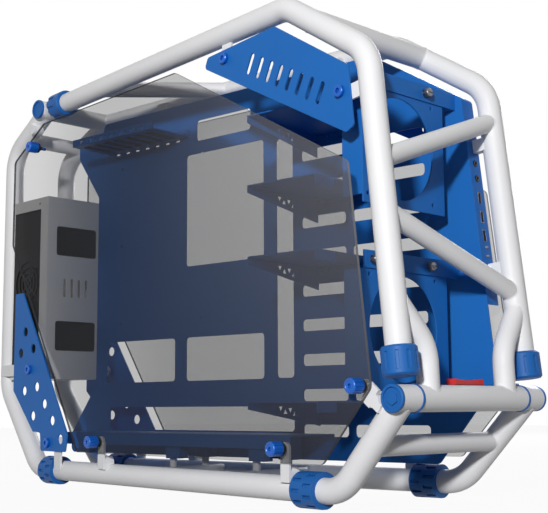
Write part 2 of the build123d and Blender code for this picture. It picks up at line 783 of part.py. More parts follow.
with BuildPart() as port_board:
    with BuildSketch(strip_plane.offset(-PORT_DEPTH)):
        with Locations((port_x, strip_sign * ports_length / 2)):
            Rectangle(STRIP_WIDTH - 4, ports_length - 6)
    extrude(amount=-SHEET)
keep(port_board.part, "port_board")


# Lugs that hold the tray to the right loop's tubes
def tray_lug(along, low, high, reach, mate):
    """Block between the tray's back and a tube, coped to the tube."""
    with BuildPart() as piece:
        with BuildSketch(TRAY):
            with Locations((along, (low + high) / 2)):
                Rectangle(18, high - low)
        extrude(amount=-reach)
    return coped(piece.part, mate)


def strip_lug(height):
    """Block from the strip's face to the right upright, coped to it."""
    with BuildPart() as piece:
        with BuildSketch(strip_plane):
            with Locations((STRIP_WIDTH - 6, strip_sign * (height - PORTS_LOW))):
                Rectangle(10, 14)
        extrude(amount=FRONT_EDGE_GAP)
    return coped(piece.part, right_upper_core)


with BuildPart() as tray_lugs:
    for along in (-150.0, 150.0):
        add(tray_lug(along, TRAY_TOP - 28, TOP_AXIS - 4, 15, right_upper_core))
    for height in (PORTS_LOW - 8, PORTS_HIGH + 10):
        add(strip_lug(height))
keep(tray_lugs.part, "tray_lugs")


# Folded floor under the board, on four feet that stand on stems of the floor cross tubes
def level(height):
    """Level plane along the tray; its own -Y points inwards from the tray."""
    return Plane(origin=TRAY.origin + Vector(0, 0, height), x_dir=tray_along, z_dir=(0, 0, 1))


def level_rectangle(rear, front, near, far):
    """Rectangle on a level plane, from far to near of the tray."""
    with Locations(((rear + front) / 2, -(near + far) / 2)):
        Rectangle(front - rear, near - far)


floor_near = FLOOR_DEPTH + SHEET
with BuildPart() as floor_channel:
    with BuildSketch(level(FLOOR_SHEET)):
        level_rectangle(FLOOR_REAR, FLOOR_FRONT, floor_near, SHEET)
    extrude(amount=SHEET)
    with BuildSketch(level(FLOOR_SHEET)):
        level_rectangle(FLOOR_REAR, FLOOR_FRONT, floor_near, FLOOR_DEPTH)
        level_rectangle(FLOOR_REAR, FLOOR_FRONT, 2 * SHEET, SHEET)
    extrude(amount=-FLOOR_LIP)
keep(floor_channel.part, "floor_channel")

with BuildPart() as floor_feet:
    with BuildSketch(level(FLOOR_FOOT_LOW)):
        with Locations(*[(along, -inward) for along in floor_cross_s for inward in floor_foot_inward]):
            RectangleRounded(24, 18, 3)
    extrude(amount=FLOOR_SHEET - FLOOR_FOOT_LOW)
keep(floor_feet.part, "floor_feet")

# Slot bracket for expansion cards, with its blank covers
EXPANSION_LIP = 10.0
expansion_length = EXPANSION_FRONT - EXPANSION_REAR
lip_middle = ((EXPANSION_REAR + EXPANSION_FRONT) / 2, EXPANSION_HEIGHT + EXPANSION_LIP / 2)
notch_low = EXPANSION_HEIGHT + SHEET
with BuildPart() as expansion:
    with BuildSketch(level(EXPANSION_HEIGHT)):
        level_rectangle(EXPANSION_REAR, EXPANSION_FRONT, EXPANSION_DEPTH, SHEET)
        with Locations(*[(centre, -EXPANSION_DEPTH / 2) for centre in slot_centres]):
            Rectangle(13.5, EXPANSION_DEPTH - 20, mode=Mode.SUBTRACT)
    extrude(amount=SHEET)
    with BuildSketch(TRAY.offset(SHEET)):
        with Locations(lip_middle):
            Rectangle(expansion_length, EXPANSION_LIP)
    extrude(amount=SHEET)
    with BuildSketch(TRAY.offset(EXPANSION_DEPTH - SHEET)):
        with Locations(lip_middle):
            Rectangle(expansion_length, EXPANSION_LIP)
        with Locations(*[(centre, notch_low + 2.75) for centre in slot_centres]):
            Rectangle(7, 5.5, mode=Mode.SUBTRACT)
        with Locations(*[(centre + EXPANSION_PITCH / 2, notch_low + 3.5) for centre in slot_centres]):
            Circle(1.6, mode=Mode.SUBTRACT)
    extrude(amount=SHEET)
keep(expansion.part, "expansion_bracket")

with BuildPart() as covers:
    with BuildSketch(level(notch_low)):
        with Locations(*[(centre, -EXPANSION_DEPTH / 2) for centre in slot_centres]):
            Rectangle(18, EXPANSION_DEPTH - 8)
    extrude(amount=1.0)
keep(covers.part, "slot_covers")

# Drive shelves on the tray: a tapering rear web with triangular cut-outs, a tray lip and a corner tab
SHELF_LIP = 8.0
shelf_holes = [
    (along, -inward)
    for along in (SHELF_REAR + 14, SHELF_FRONT - 14)
    for inward in (22.0, SHELF_DEPTH - 14)
]
# Each cut-out in the web: distance from the tray, depth under the shelf
web_cuts = ((71.5, 7.6), (63.5, 11.4), (55.0, 9.4), (47.0, 13.6))


def shelf(height):
    """Folded shelf that stands out from the tray."""
    # Plane of the rear web; its own X runs inwards from the tray and its Y down
    web = Plane(
        origin=TRAY.from_local_coords(Vector(SHELF_REAR, height, 0)),
        x_dir=tray_in,
        z_dir=tray_along,
    )
    web_outline = [
        (SHEET, 0),
        (SHELF_DEPTH, 0),
        (SHELF_DEPTH, SHELF_WEB_NEAR),
        (SHEET, SHELF_WEB_FAR),
    ]
    with BuildPart() as piece:
        with BuildSketch(level(height - SHEET)):
            level_rectangle(SHELF_REAR, SHELF_FRONT, SHELF_DEPTH, SHEET)
            with Locations(*shelf_holes):
                Circle(2.2, mode=Mode.SUBTRACT)
        extrude(amount=SHEET)
        with BuildSketch(web):
            with BuildLine():
                Polyline(*web_outline, close=True)
            make_face()
            for index, cut in enumerate(web_cuts):
                with Locations(cut):
                    RegularPolygon(4.4, 3, rotation=90 + 180 * (index % 2), mode=Mode.SUBTRACT)
        extrude(amount=SHEET)
        with BuildSketch(level(height - SHELF_LIP)):
            level_rectangle(SHELF_REAR, SHELF_FRONT, 2 * SHEET, SHEET)
        extrude(amount=SHELF_LIP)
        with BuildSketch(level(height - 12)):
            level_rectangle(SHELF_FRONT - SHEET, SHELF_FRONT, SHELF_DEPTH, SHELF_DEPTH - 32)
        extrude(amount=12)
    return piece.part


for number, height in enumerate(SHELF_HEIGHTS, start=1):
    keep(shelf(height), f"drive_shelf_{number}")

# Fan brackets and the bars that carry them
fan_mid_y = (FAN_LEFT_Y + FAN_RIGHT_Y) / 2
fan_low = 62.0
fan_high = 76.0
fan_flange = 27.0
screw_rise = 67.0
screw_places_y = (FAN_CENTRE_Y + 42, FAN_LEFT_Y + 12)
FAN_SCREW = 4.0
FAN_FACE = Plane(origin=(FAN_FACE_X, 0, 0), x_dir=(0, 1, 0), z_dir=(1, 0, 0))


def fan_bracket(centre):
    """Folded panel with a round fan opening and a flange back along its left edge."""
    with BuildPart() as piece:
        with BuildSketch(FAN_FACE):
            with Locations((fan_mid_y, centre + (fan_high - fan_low) / 2)):
                Rectangle(FAN_RIGHT_Y - FAN_LEFT_Y, fan_high + fan_low)
            with Locations((FAN_CENTRE_Y, centre)):
                Circle(FAN_HOLE / 2, mode=Mode.SUBTRACT)
                with GridLocations(FAN_SCREW_SPACING, FAN_SCREW_SPACING, 2, 2):
                    Circle(2.2, mode=Mode.SUBTRACT)
            with Locations(*[(side, centre + screw_rise) for side in screw_places_y]):
                Circle(FAN_SCREW / 2 + FIT, mode=Mode.SUBTRACT)
        extrude(amount=SHEET)
        with BuildSketch(Plane(origin=(0, FAN_LEFT_Y, 0), x_dir=(1, 0, 0), z_dir=(0, -1, 0))):
            with Locations((FAN_FACE_X + SHEET - fan_flange / 2, centre + 2)):
                Rectangle(fan_flange, fan_low * 2 - 12)
        extrude(amount=-SHEET)
    return piece.part


for name, centre in zip(("lower", "upper"), FAN_CENTRES_Z):
    keep(fan_bracket(centre), f"{name}_fan_bracket")

# Bars in front of the brackets' top edges, each with a tab on the tray
bar_height = 2 * (fan_high - screw_rise)
bar_tab = 14.0
bar_face = FAN_FACE.offset(SHEET)
bar_along = (FAN_FACE_X + SHEET - TRAY.origin.X) / tray_along.X
bar_end_y = TRAY.from_local_coords(Vector(bar_along, 0, 1.5 * SHEET)).Y
with BuildPart() as fan_bars:
    for centre in FAN_CENTRES_Z:
        bar_level = centre + screw_rise
        with BuildSketch(bar_face):
            with Locations(((FAN_LEFT_Y + bar_end_y) / 2, bar_level)):
                Rectangle(bar_end_y - FAN_LEFT_Y, bar_height)
            with Locations(*[(side, bar_level) for side in screw_places_y]):
                Circle(FAN_SCREW / 2 + FIT, mode=Mode.SUBTRACT)
        extrude(amount=SHEET)
        with BuildSketch(TRAY.offset(SHEET)):
            with Locations((bar_along + SHEET - bar_tab / 2, bar_level)):
                Rectangle(bar_tab, bar_height)
        extrude(amount=SHEET)
keep(fan_bars.part, "fan_bars")

screw_end = 4.0
with BuildPart(FAN_FACE) as fan_screws:
    for centre in FAN_CENTRES_Z:
        for side in screw_places_y:
            with Locations((side, centre + screw_rise, -screw_end)):
                Cylinder(FAN_SCREW / 2, 2 * SHEET + screw_end, align=(Align.CENTER, Align.CENTER, Align.MIN))
            with Locations((side, centre + screw_rise, 2 * SHEET)):
                Cylinder(5.0, 6.0, align=(Align.CENTER, Align.CENTER, Align.MIN))
    chamfer(fan_screws.edges().filter_by(GeomType.CIRCLE).group_by(SortBy.RADIUS)[-1], 0.8)
keep(fan_screws.part, "fan_bracket_screws")

# Power-supply bracket: front wall with two windows, open left side with lips
psu_mid_y = (PSU_LEFT_Y + PSU_RIGHT_Y) / 2
psu_width = PSU_RIGHT_Y - PSU_LEFT_Y
psu_mid_z = (PSU_TOP + PSU_BOTTOM) / 2
psu_height = PSU_TOP - PSU_BOTTOM
PSU_WINDOW = (67.0, 41.0)
psu_window_heights = (198.5, 331.0)
PSU_FRONT = Plane(origin=(PSU_FRONT_X, psu_mid_y, 0), x_dir=(0, 1, 0), z_dir=(1, 0, 0))
PSU_LEFT = Plane(origin=(0, PSU_LEFT_Y, 0), x_dir=(1, 0, 0), z_dir=(0, -1, 0))
psu_mid_x = PSU_FRONT_X - PSU_DEPTH / 2
with BuildPart() as psu_bracket:
    with Locations((psu_mid_x, psu_mid_y, psu_mid_z)):
        Box(PSU_DEPTH, psu_width, psu_height)
    with Locations((psu_mid_x - SHEET, psu_mid_y, psu_mid_z)):
        Box(PSU_DEPTH, psu_width - 2 * SHEET, psu_height - 2 * SHEET, mode=Mode.SUBTRACT)
    with BuildSketch(PSU_LEFT):
        with Locations((psu_mid_x - 12, psu_mid_z)):
            Rectangle(PSU_DEPTH - 12, psu_height - 32)
        with Locations((PSU_FRONT_X - 22, PSU_TOP - 8)):
            Circle(2)
    extrude(amount=-SHEET, mode=Mode.SUBTRACT)
    with BuildSketch(PSU_FRONT):
        for height in psu_window_heights:
            with Locations((5, height)):
                RectangleRounded(*PSU_WINDOW, 4)
        with Locations(*[(-14 + 12 * index, psu_mid_z) for index in range(4)]):
            SlotOverall(26, 4.5, rotation=90)
    extrude(amount=-SHEET, mode=Mode.SUBTRACT)
    with BuildSketch(TRAY):
        with Locations((PSU_FRONT_X + 4, psu_mid_z)):
            Rectangle(24, psu_height - 50)
    extrude(amount=-SHEET)
keep(psu_bracket.part, "psu_bracket")

PAD = 3.0
with BuildPart() as psu_pads:
    with BuildSketch(PSU_FRONT.offset(-SHEET)):
        for height in psu_window_heights:
            with Locations((3, height)):
                Rectangle(PSU_WINDOW[0] + 6, PSU_WINDOW[1] + 10)
    extrude(amount=-PAD)
keep(psu_pads.part, "psu_pads")

# Dark side plate with one round finger guard: rings on crossed spokes
GUARD_RADIUS = 31.0
GUARD_WIRE = 2.2
guard_rings = (9.0, 16.5, 24.0)
with BuildPart() as psu_grille:
    with BuildSketch(PSU_LEFT.offset(-SHEET)):
        with Locations((psu_mid_x - 6, psu_mid_z)):
            Rectangle(PSU_DEPTH - 14, psu_height - 12)
        with Locations((psu_mid_x - 6, psu_mid_z + 8)):
            Circle(GUARD_RADIUS, mode=Mode.SUBTRACT)
            for radius in guard_rings:
                with BuildSketch(mode=Mode.PRIVATE) as ring:
                    Circle(radius)
                    Circle(radius - GUARD_WIRE, mode=Mode.SUBTRACT)
                add(ring.sketch)
            for turn in (45, 135):
                Rectangle(2 * GUARD_RADIUS, GUARD_WIRE, rotation=turn)
    extrude(amount=-1.0)
keep(psu_grille.part, "psu_side_grille")

# Power button: sprung, pressed down into a housing that saddles the bumper
housing_front = bumper_place.X - 6
housing_rear = bumper_place.X - TUBE_OD / 2 - BUTTON_DEPTH - 2 * HOUSING_WALL - 1
button_y = 24.0
button_bottom = BUMPER[1] + TUBE_OD / 2 - 6.0
housing_low = button_bottom - BUTTON_TRAVEL - 8
housing_high = button_bottom + 7
button_x = housing_rear + HOUSING_WALL + BUTTON_DEPTH / 2 + BUTTON_FIT
switch_high = button_bottom - BUTTON_TRAVEL - 0.6
with BuildPart() as housing:
    with Locations(((housing_front + housing_rear) / 2, button_y, (housing_low + housing_high) / 2)):
        Box(housing_front - housing_rear, BUTTON_WIDTH + 2 * HOUSING_WALL + 2, housing_high - housing_low)
    with Locations((button_x, button_y, housing_high)):
        Box(
            BUTTON_DEPTH + 2 * BUTTON_FIT,
            BUTTON_WIDTH + 2 * BUTTON_FIT,
            2 * (housing_high - housing_low - HOUSING_WALL),
            mode=Mode.SUBTRACT,
        )
    add(bumper_core, mode=Mode.SUBTRACT)
keep(housing.part, "switch_housing")

SCOOP_RADIUS = 150.0
with BuildPart() as button:
    with Locations((button_x, button_y, button_bottom)):
        Box(BUTTON_DEPTH, BUTTON_WIDTH, BUTTON_HEIGHT, align=(Align.CENTER, Align.CENTER, Align.MIN))
    fillet(button.edges().filter_by(Axis.X).sort_by(Axis.Z)[-2:], 4)
    scoop_height = button_bottom + BUTTON_HEIGHT + SCOOP_RADIUS - 2.6
    scoop = Plane(origin=(button_x, button_y, scoop_height), z_dir=(1, 0, 0))
    with Locations(scoop):
        Cylinder(SCOOP_RADIUS, 2 * BUTTON_DEPTH, mode=Mode.SUBTRACT)
keep(button.part, "power_button")

with BuildPart() as micro_switch:
    with Locations((button_x, button_y, housing_low + HOUSING_WALL)):
        Box(7, 13, switch_high - housing_low - HOUSING_WALL, align=(Align.CENTER, Align.CENTER, Align.MIN))
keep(micro_switch.part, "micro_switch")
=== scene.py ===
# %% [markdown]
# # An open tubular computer case
#
# The case is two loops of bent white tube that stand on blue ring feet. Blue folded sheet
# hangs between them, and a smoked clear pane covers each side. The solids come from the CAD
# model and are already at their true size and place. This lesson gives every surface its
# finish, adds the small things that the solids leave out, and lights the case as a plain
# studio would.

# %% Load the frame
import json
from math import cos, hypot, pi, radians, sin, sqrt

import bmesh
import bpy
from mathutils import Matrix, Vector


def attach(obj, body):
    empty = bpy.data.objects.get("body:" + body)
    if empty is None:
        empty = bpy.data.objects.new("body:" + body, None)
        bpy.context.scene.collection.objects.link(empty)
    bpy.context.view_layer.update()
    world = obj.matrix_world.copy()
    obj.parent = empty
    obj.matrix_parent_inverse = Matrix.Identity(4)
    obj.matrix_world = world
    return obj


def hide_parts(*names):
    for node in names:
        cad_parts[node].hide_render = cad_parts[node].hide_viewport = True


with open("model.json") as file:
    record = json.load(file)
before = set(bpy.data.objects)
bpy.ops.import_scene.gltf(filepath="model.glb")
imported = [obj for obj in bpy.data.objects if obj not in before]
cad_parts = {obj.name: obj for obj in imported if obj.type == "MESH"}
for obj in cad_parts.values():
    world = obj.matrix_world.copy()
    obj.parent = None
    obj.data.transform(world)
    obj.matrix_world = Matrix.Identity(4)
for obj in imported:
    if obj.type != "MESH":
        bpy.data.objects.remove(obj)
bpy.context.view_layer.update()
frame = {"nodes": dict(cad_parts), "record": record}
solids = frame["nodes"]

# %% [markdown]
# ## The camera
#
# The photo looks up at the case from low down and close by, so near tubes look thick and far
# ones thin. Such a view can't be guessed by eye. It was solved from the tubes' straight lines,
# and what is left here is one place, one direction, a small roll and one lens.

# %% Camera
PHOTO_WIDTH = 548
PHOTO_FOCAL = 1115.0
SENSOR = 36.0
NEAR_CLIP = 0.02
camera_place = Vector((1.0291, -0.9031, 0.0993))
azimuth = radians(45.43)
elevation = radians(-7.68)
roll = radians(-0.33)

backward = Vector((sin(azimuth) * cos(elevation), -cos(azimuth) * cos(elevation), sin(elevation)))
level_right = Vector((cos(azimuth), sin(azimuth), 0))
level_up = backward.cross(level_right)
right = level_right * cos(roll) + level_up * sin(roll)
up = level_up * cos(roll) - level_right * sin(roll)
camera_turn = Matrix((right, up, backward)).transposed().to_4x4()

lens = bpy.data.cameras.new("camera")
lens.sensor_width = SENSOR
lens.lens = SENSOR * PHOTO_FOCAL / PHOTO_WIDTH
lens.clip_start = NEAR_CLIP
camera = bpy.data.objects.new("camera", lens)
camera.matrix_world = Matrix.Translation(camera_place) @ camera_turn
bpy.context.scene.collection.objects.link(camera)
bpy.context.scene.camera = camera
print("lens:", round(lens.lens, 1), "mm")

# %% [markdown]
# ## World
#
# The case is shown on white. A bright world would light it from all sides and wash out its
# shading. So the world is white only to the camera, to mirrors and to clear panes, and gives
# everything else just a little light.

# %% World
LIGHT_LEVEL = 0.06
WHITE_LEVEL = 1.0
WHITE = (1, 1, 1, 1)


def seen_rays(tree):
    """One where a ray comes from the camera, a mirror or a clear pane."""
    path = tree.nodes.new("ShaderNodeLightPath")
    direct = tree.nodes.new("ShaderNodeMath")
    direct.operation = "MAXIMUM"
    tree.links.new(path.outputs["Is Camera Ray"], direct.inputs[0])
    tree.links.new(path.outputs["Is Glossy Ray"], direct.inputs[1])
    any_seen = tree.nodes.new("ShaderNodeMath")
    any_seen.operation = "MAXIMUM"
    tree.links.new(direct.outputs[0], any_seen.inputs[0])
    tree.links.new(path.outputs["Is Transmission Ray"], any_seen.inputs[1])
    return any_seen.outputs[0]


world = bpy.data.worlds.new("studio")
bpy.context.scene.world = world
world.use_nodes = True
sky = world.node_tree
sky.nodes.clear()
sky_out = sky.nodes.new("ShaderNodeOutputWorld")
sky_mix = sky.nodes.new("ShaderNodeMixShader")
sky_light = sky.nodes.new("ShaderNodeBackground")
sky_light.inputs["Color"].default_value = WHITE
sky_light.inputs["Strength"].default_value = LIGHT_LEVEL
sky_white = sky.nodes.new("ShaderNodeBackground")
sky_white.inputs["Color"].default_value = WHITE
sky_white.inputs["Strength"].default_value = WHITE_LEVEL
sky.links.new(seen_rays(sky), sky_mix.inputs["Fac"])
sky.links.new(sky_light.outputs[0], sky_mix.inputs[1])
sky.links.new(sky_white.outputs[0], sky_mix.inputs[2])
sky.links.new(sky_mix.outputs[0], sky_out.inputs["Surface"])
print("world:", world.name)

# %% [markdown]
# ## Floor
#
# A large plane is floor enough. It is mostly white to the same rays and plain matt to the rest,
# so it melts into the background and still keeps a soft shadow.

# %% Floor
FLOOR_SIZE = 8.0
FLOOR_MATT = (0.32, 0.32, 0.32, 1)
FLOOR_WHITE_SHARE = 0.95

bpy.ops.object.select_all(action="DESELECT")
bpy.ops.mesh.primitive_plane_add(size=FLOOR_SIZE, location=(0, 0, 0))
floor = bpy.context.object
floor.name = "studio_floor"
floor_paint = bpy.data.materials.new("studio_floor")
floor_paint.use_nodes = True
floor_tree = floor_paint.node_tree
floor_tree.nodes.clear()
floor_out = floor_tree.nodes.new("ShaderNodeOutputMaterial")
floor_matt = floor_tree.nodes.new("ShaderNodeBsdfDiffuse")
floor_matt.inputs["Color"].default_value = FLOOR_MATT
floor_white = floor_tree.nodes.new("ShaderNodeEmission")
floor_white.inputs["Strength"].default_value = WHITE_LEVEL
floor_share = floor_tree.nodes.new("ShaderNodeMath")
floor_share.operation = "MULTIPLY"
floor_share.inputs[1].default_value = FLOOR_WHITE_SHARE
floor_mix = floor_tree.nodes.new("ShaderNodeMixShader")
floor_tree.links.new(seen_rays(floor_tree), floor_share.inputs[0])
floor_tree.links.new(floor_share.outputs[0], floor_mix.inputs["Fac"])
floor_tree.links.new(floor_matt.outputs[0], floor_mix.inputs[1])
floor_tree.links.new(floor_white.outputs[0], floor_mix.inputs[2])
floor_tree.links.new(floor_mix.outputs[0], floor_out.inputs["Surface"])
floor.data.materials.append(floor_paint)
print("floor:", floor.name)

# %% [markdown]
# ## Lamps
#
# The main lamp stands at the left and only a little above the case, because in the photo the
# tubes' left sides are the bright ones, the bumper's front is in half shade and all undersides
# are dark. A second lamp behind lights the sides that this view doesn't show.

# %% Lamps
LAMP_AIM = Vector((0, 0, 0.28))


def soft_lamp(name, place, size, power):
    """Square lamp that looks at the middle of the case."""
    light = bpy.data.lights.new(name, "AREA")
    light.size = size
    light.energy = power
    lamp = bpy.data.objects.new(name, light)
    look = (LAMP_AIM - Vector(place)).to_track_quat("-Z", "Y")
    lamp.matrix_world = Matrix.Translation(Vector(place)) @ look.to_matrix().to_4x4()
    bpy.context.scene.collection.objects.link(lamp)
    return lamp


lamps = [
    soft_lamp("key_lamp", place=(1.45, -2.0, 0.82), size=0.16, power=52),
    soft_lamp("back_lamp", place=(-0.9, 2.5, 1.3), size=1.2, power=78),
]
bpy.context.scene.view_settings.view_transform = "Standard"
print("lamps:", [lamp.name for lamp in lamps])

# %% [markdown]
# ## Finishes
#
# Powder coat, moulded plastic and rubber share one thing: a fine grain, and a slow change of
# tone from place to place. One node group holds both, and each finish sets its own values.
# It reads Object coordinates, which on these pieces are metres in the case's own frame.

# %% Grain group
FLOAT = "NodeSocketFloat"
COLOUR = "NodeSocketColor"
FINE_DETAIL = 3.0
SLOW_DETAIL = 2.0
NOISE_MIDDLE = 0.5
# A Mix node has an A, a B and a Result for each kind of data, so its colours go by number.
COLOUR_A = 6
COLOUR_B = 7
COLOUR_RESULT = 2


def new_group(name, inputs, outputs):
    """Empty shader node group with named sockets."""
    group = bpy.data.node_groups.new(name, "ShaderNodeTree")
    for socket, kind, value in inputs:
        made = group.interface.new_socket(name=socket, in_out="INPUT", socket_type=kind)
        made.default_value = value
    for socket, kind in outputs:
        group.interface.new_socket(name=socket, in_out="OUTPUT", socket_type=kind)
    return group, group.nodes.new("NodeGroupInput"), group.nodes.new("NodeGroupOutput")


grain, grain_in, grain_out = new_group(
    "surface_grain",
    [
        ("Colour", COLOUR, (0.8, 0.8, 0.8, 1)),
        ("Shade Colour", COLOUR, (0.7, 0.7, 0.7, 1)),
        ("Grain Scale", FLOAT, 900.0),
        ("Tone Scale", FLOAT, 9.0),
        ("Roughness", FLOAT, 0.4),
        ("Roughness Range", FLOAT, 0.12),
    ],
    [("Colour", COLOUR), ("Roughness", FLOAT), ("Height", FLOAT)],
)
place = grain.nodes.new("ShaderNodeTexCoord")
fine = grain.nodes.new("ShaderNodeTexNoise")
fine.inputs["Detail"].default_value = FINE_DETAIL
slow = grain.nodes.new("ShaderNodeTexNoise")
slow.inputs["Detail"].default_value = SLOW_DETAIL
tone = grain.nodes.new("ShaderNodeMix")
tone.data_type = "RGBA"
spread = grain.nodes.new("ShaderNodeMath")
spread.operation = "MULTIPLY_ADD"
centre = grain.nodes.new("ShaderNodeMath")
centre.operation = "SUBTRACT"
centre.inputs[1].default_value = NOISE_MIDDLE
grain.links.new(place.outputs["Object"], fine.inputs["Vector"])
grain.links.new(place.outputs["Object"], slow.inputs["Vector"])
grain.links.new(grain_in.outputs["Grain Scale"], fine.inputs["Scale"])
grain.links.new(grain_in.outputs["Tone Scale"], slow.inputs["Scale"])
grain.links.new(slow.outputs["Fac"], tone.inputs["Factor"])
grain.links.new(grain_in.outputs["Colour"], tone.inputs[COLOUR_A])
grain.links.new(grain_in.outputs["Shade Colour"], tone.inputs[COLOUR_B])
grain.links.new(fine.outputs["Fac"], centre.inputs[0])
grain.links.new(centre.outputs[0], spread.inputs[0])
grain.links.new(grain_in.outputs["Roughness Range"], spread.inputs[1])
grain.links.new(grain_in.outputs["Roughness"], spread.inputs[2])
grain.links.new(tone.outputs[COLOUR_RESULT], grain_out.inputs["Colour"])
grain.links.new(spread.outputs[0], grain_out.inputs["Roughness"])
grain.links.new(fine.outputs["Fac"], grain_out.inputs["Height"])
print("group:", grain.name)

# %% [markdown]
# A finish is then a Principled BSDF with the grain group in front of it. What is the same all
# over, such as how metallic it is, is set on the shader's own sockets. No painted or moulded
# edge is truly sharp, so a Bevel node rounds the normals by a hair and edges catch the light.

# %% Finish maker
MM = 0.001
EDGE_SAMPLES = 4
GRAIN_STRENGTH = 0.35


def linear(red, green, blue):
    """A screen colour of 0 to 255 as the linear colour that shaders use, by the standard formula."""
    def channel(value):
        share = value / 255
        return share / 12.92 if share <= 0.04045 else ((share + 0.055) / 1.055) ** 2.4
    return (channel(red), channel(green), channel(blue), 1)


def finish(name, colour, shade, rough, grain_size, bump, edge, **plain):
    """Material with grain and soft edges; the plain values go straight on the shader's sockets."""
    material = bpy.data.materials.new(name)
    material.use_nodes = True
    nodes = material.node_tree.nodes
    links = material.node_tree.links
    shader = nodes["Principled BSDF"]
    group = nodes.new("ShaderNodeGroup")
    group.node_tree = grain
    group.inputs["Colour"].default_value = colour
    group.inputs["Shade Colour"].default_value = shade
    group.inputs["Roughness"].default_value = rough
    group.inputs["Grain Scale"].default_value = 1 / grain_size
    links.new(group.outputs["Colour"], shader.inputs["Base Color"])
    links.new(group.outputs["Roughness"], shader.inputs["Roughness"])
    soft_edge = nodes.new("ShaderNodeBevel")
    soft_edge.samples = EDGE_SAMPLES
    soft_edge.inputs["Radius"].default_value = edge
    lift = nodes.new("ShaderNodeBump")
    lift.inputs["Strength"].default_value = GRAIN_STRENGTH
    lift.inputs["Distance"].default_value = bump
    links.new(group.outputs["Height"], lift.inputs["Height"])
    links.new(soft_edge.outputs["Normal"], lift.inputs["Normal"])
    links.new(lift.outputs["Normal"], shader.inputs["Normal"])
    for socket, value in plain.items():
        shader.inputs[socket.replace("_", " ")].default_value = value
    return material


print("white in linear light:", linear(255, 255, 255))

# %% [markdown]
# Each finish has a main colour and a slightly darker one, between which its tone drifts. Paint
# and plastic shine little. The anodised screws are a little metallic, and the plated ones fully.

# %% Finishes
finishes = {
    "white_paint": finish(
        "white_powder_coat", linear(238, 238, 239), linear(231, 231, 233),
        rough=0.46, grain_size=1.6 * MM, bump=0.06 * MM, edge=0.6 * MM, Specular_IOR_Level=0.25,
    ),
    "blue_paint": finish(
        "blue_powder_coat", linear(26, 106, 186), linear(23, 98, 176),
        rough=0.5, grain_size=1.4 * MM, bump=0.06 * MM, edge=0.8 * MM, Specular_IOR_Level=0.25,
    ),
    "blue_moulding": finish(
        "blue_moulded", linear(26, 99, 174), linear(23, 91, 163),
        rough=0.52, grain_size=1.1 * MM, bump=0.05 * MM, edge=0.9 * MM, Specular_IOR_Level=0.3,
    ),
    "blue_anodised": finish(
        "blue_anodised", linear(10, 98, 196), linear(8, 88, 182),
        rough=0.3, grain_size=0.7 * MM, bump=0.02 * MM, edge=0.4 * MM, Metallic=0.2,
    ),
    "grey_paint": finish(
        "grey_sheet", linear(232, 232, 232), linear(221, 221, 222),
        rough=0.42, grain_size=1.3 * MM, bump=0.05 * MM, edge=0.8 * MM, Specular_IOR_Level=0.25,
    ),
    "black_paint": finish(
        "black_sheet", linear(20, 20, 21), linear(14, 14, 15),
        rough=0.6, grain_size=1.2 * MM, bump=0.05 * MM, edge=0.5 * MM, Specular_IOR_Level=0.25,
    ),
    "dark_rubber": finish(
        "dark_rubber", linear(40, 40, 41), linear(30, 30, 31),
        rough=0.75, grain_size=0.9 * MM, bump=0.08 * MM, edge=0.6 * MM, Specular_IOR_Level=0.2,
    ),
    "bright_steel": finish(
        "bright_steel", linear(132, 132, 135), linear(108, 109, 112),
        rough=0.3, grain_size=0.8 * MM, bump=0.02 * MM, edge=0.3 * MM, Metallic=1.0,
    ),
    "black_plastic": finish(
        "black_moulded", linear(28, 28, 29), linear(20, 20, 21),
        rough=0.55, grain_size=1.0 * MM, bump=0.05 * MM, edge=0.5 * MM, Specular_IOR_Level=0.25,
    ),
    "red_plastic": finish(
        "red_moulded", linear(226, 56, 54), linear(212, 47, 46),
        rough=0.36, grain_size=1.0 * MM, bump=0.03 * MM, edge=1.0 * MM, Specular_IOR_Level=0.35,
    ),
}
print("finishes:", len(finishes))

# %% [markdown]
# ## Smoked panes
#
# Each pane is a 3 mm sheet that lets about half of the light through, and nearer two thirds at
# the rear. A refracting glass would block the lamps and leave the inside black, so the pane is a
# grey sheet that is mostly see-through, without gloss. How much of it shows is its veil. Several
# things here change slowly from place to place, so a small helper makes such a ramp.

# %% Ramps


def ramp(tree, value, reach, ends, smooth=True):
    """Map Range node that goes from one end value to the other while a value crosses its reach."""
    node = tree.nodes.new("ShaderNodeMapRange")
    node.interpolation_type = "SMOOTHSTEP" if smooth else "LINEAR"
    node.inputs["From Min"].default_value = reach[0]
    node.inputs["From Max"].default_value = reach[1]
    node.inputs["To Min"].default_value = ends[0]
    node.inputs["To Max"].default_value = ends[1]
    tree.links.new(value, node.inputs["Value"])
    return node


pane_xs = [vertex.co.x for vertex in solids["left_pane"].data.vertices]
print("panes run along X from", round(min(pane_xs), 3), "to", round(max(pane_xs), 3))

# %% [markdown]
# The tint is graded, because the panes look brighter towards their upper front corner, where light reflects
# off them, and that sheen is painted into the tint.
# One ramp runs forwards and one upwards, and their product mixes a paler grey into the smoke as a painted
# sheen.

# %% Smoke tint and painted sheen
SMOKE = linear(76, 77, 80)
SMOKE_SHADE = linear(69, 70, 73)
SMOKE_TONE_SCALE = 3.0
SMOKE_GRAIN_SCALE = 60.0
SMOKE_ROUGH = 0.1
SMOKE_ROUGH_RANGE = 0.08
# Painted sheen: a paler grey that stands in for light reflected off the pane's upper front.
PAINTED_SHEEN_COLOUR = linear(158, 158, 160)
PAINTED_SHEEN_MOST = 0.85
PAINTED_SHEEN_ALONG = (-0.12, 0.5)
PAINTED_SHEEN_UP = (0.02, 0.4)


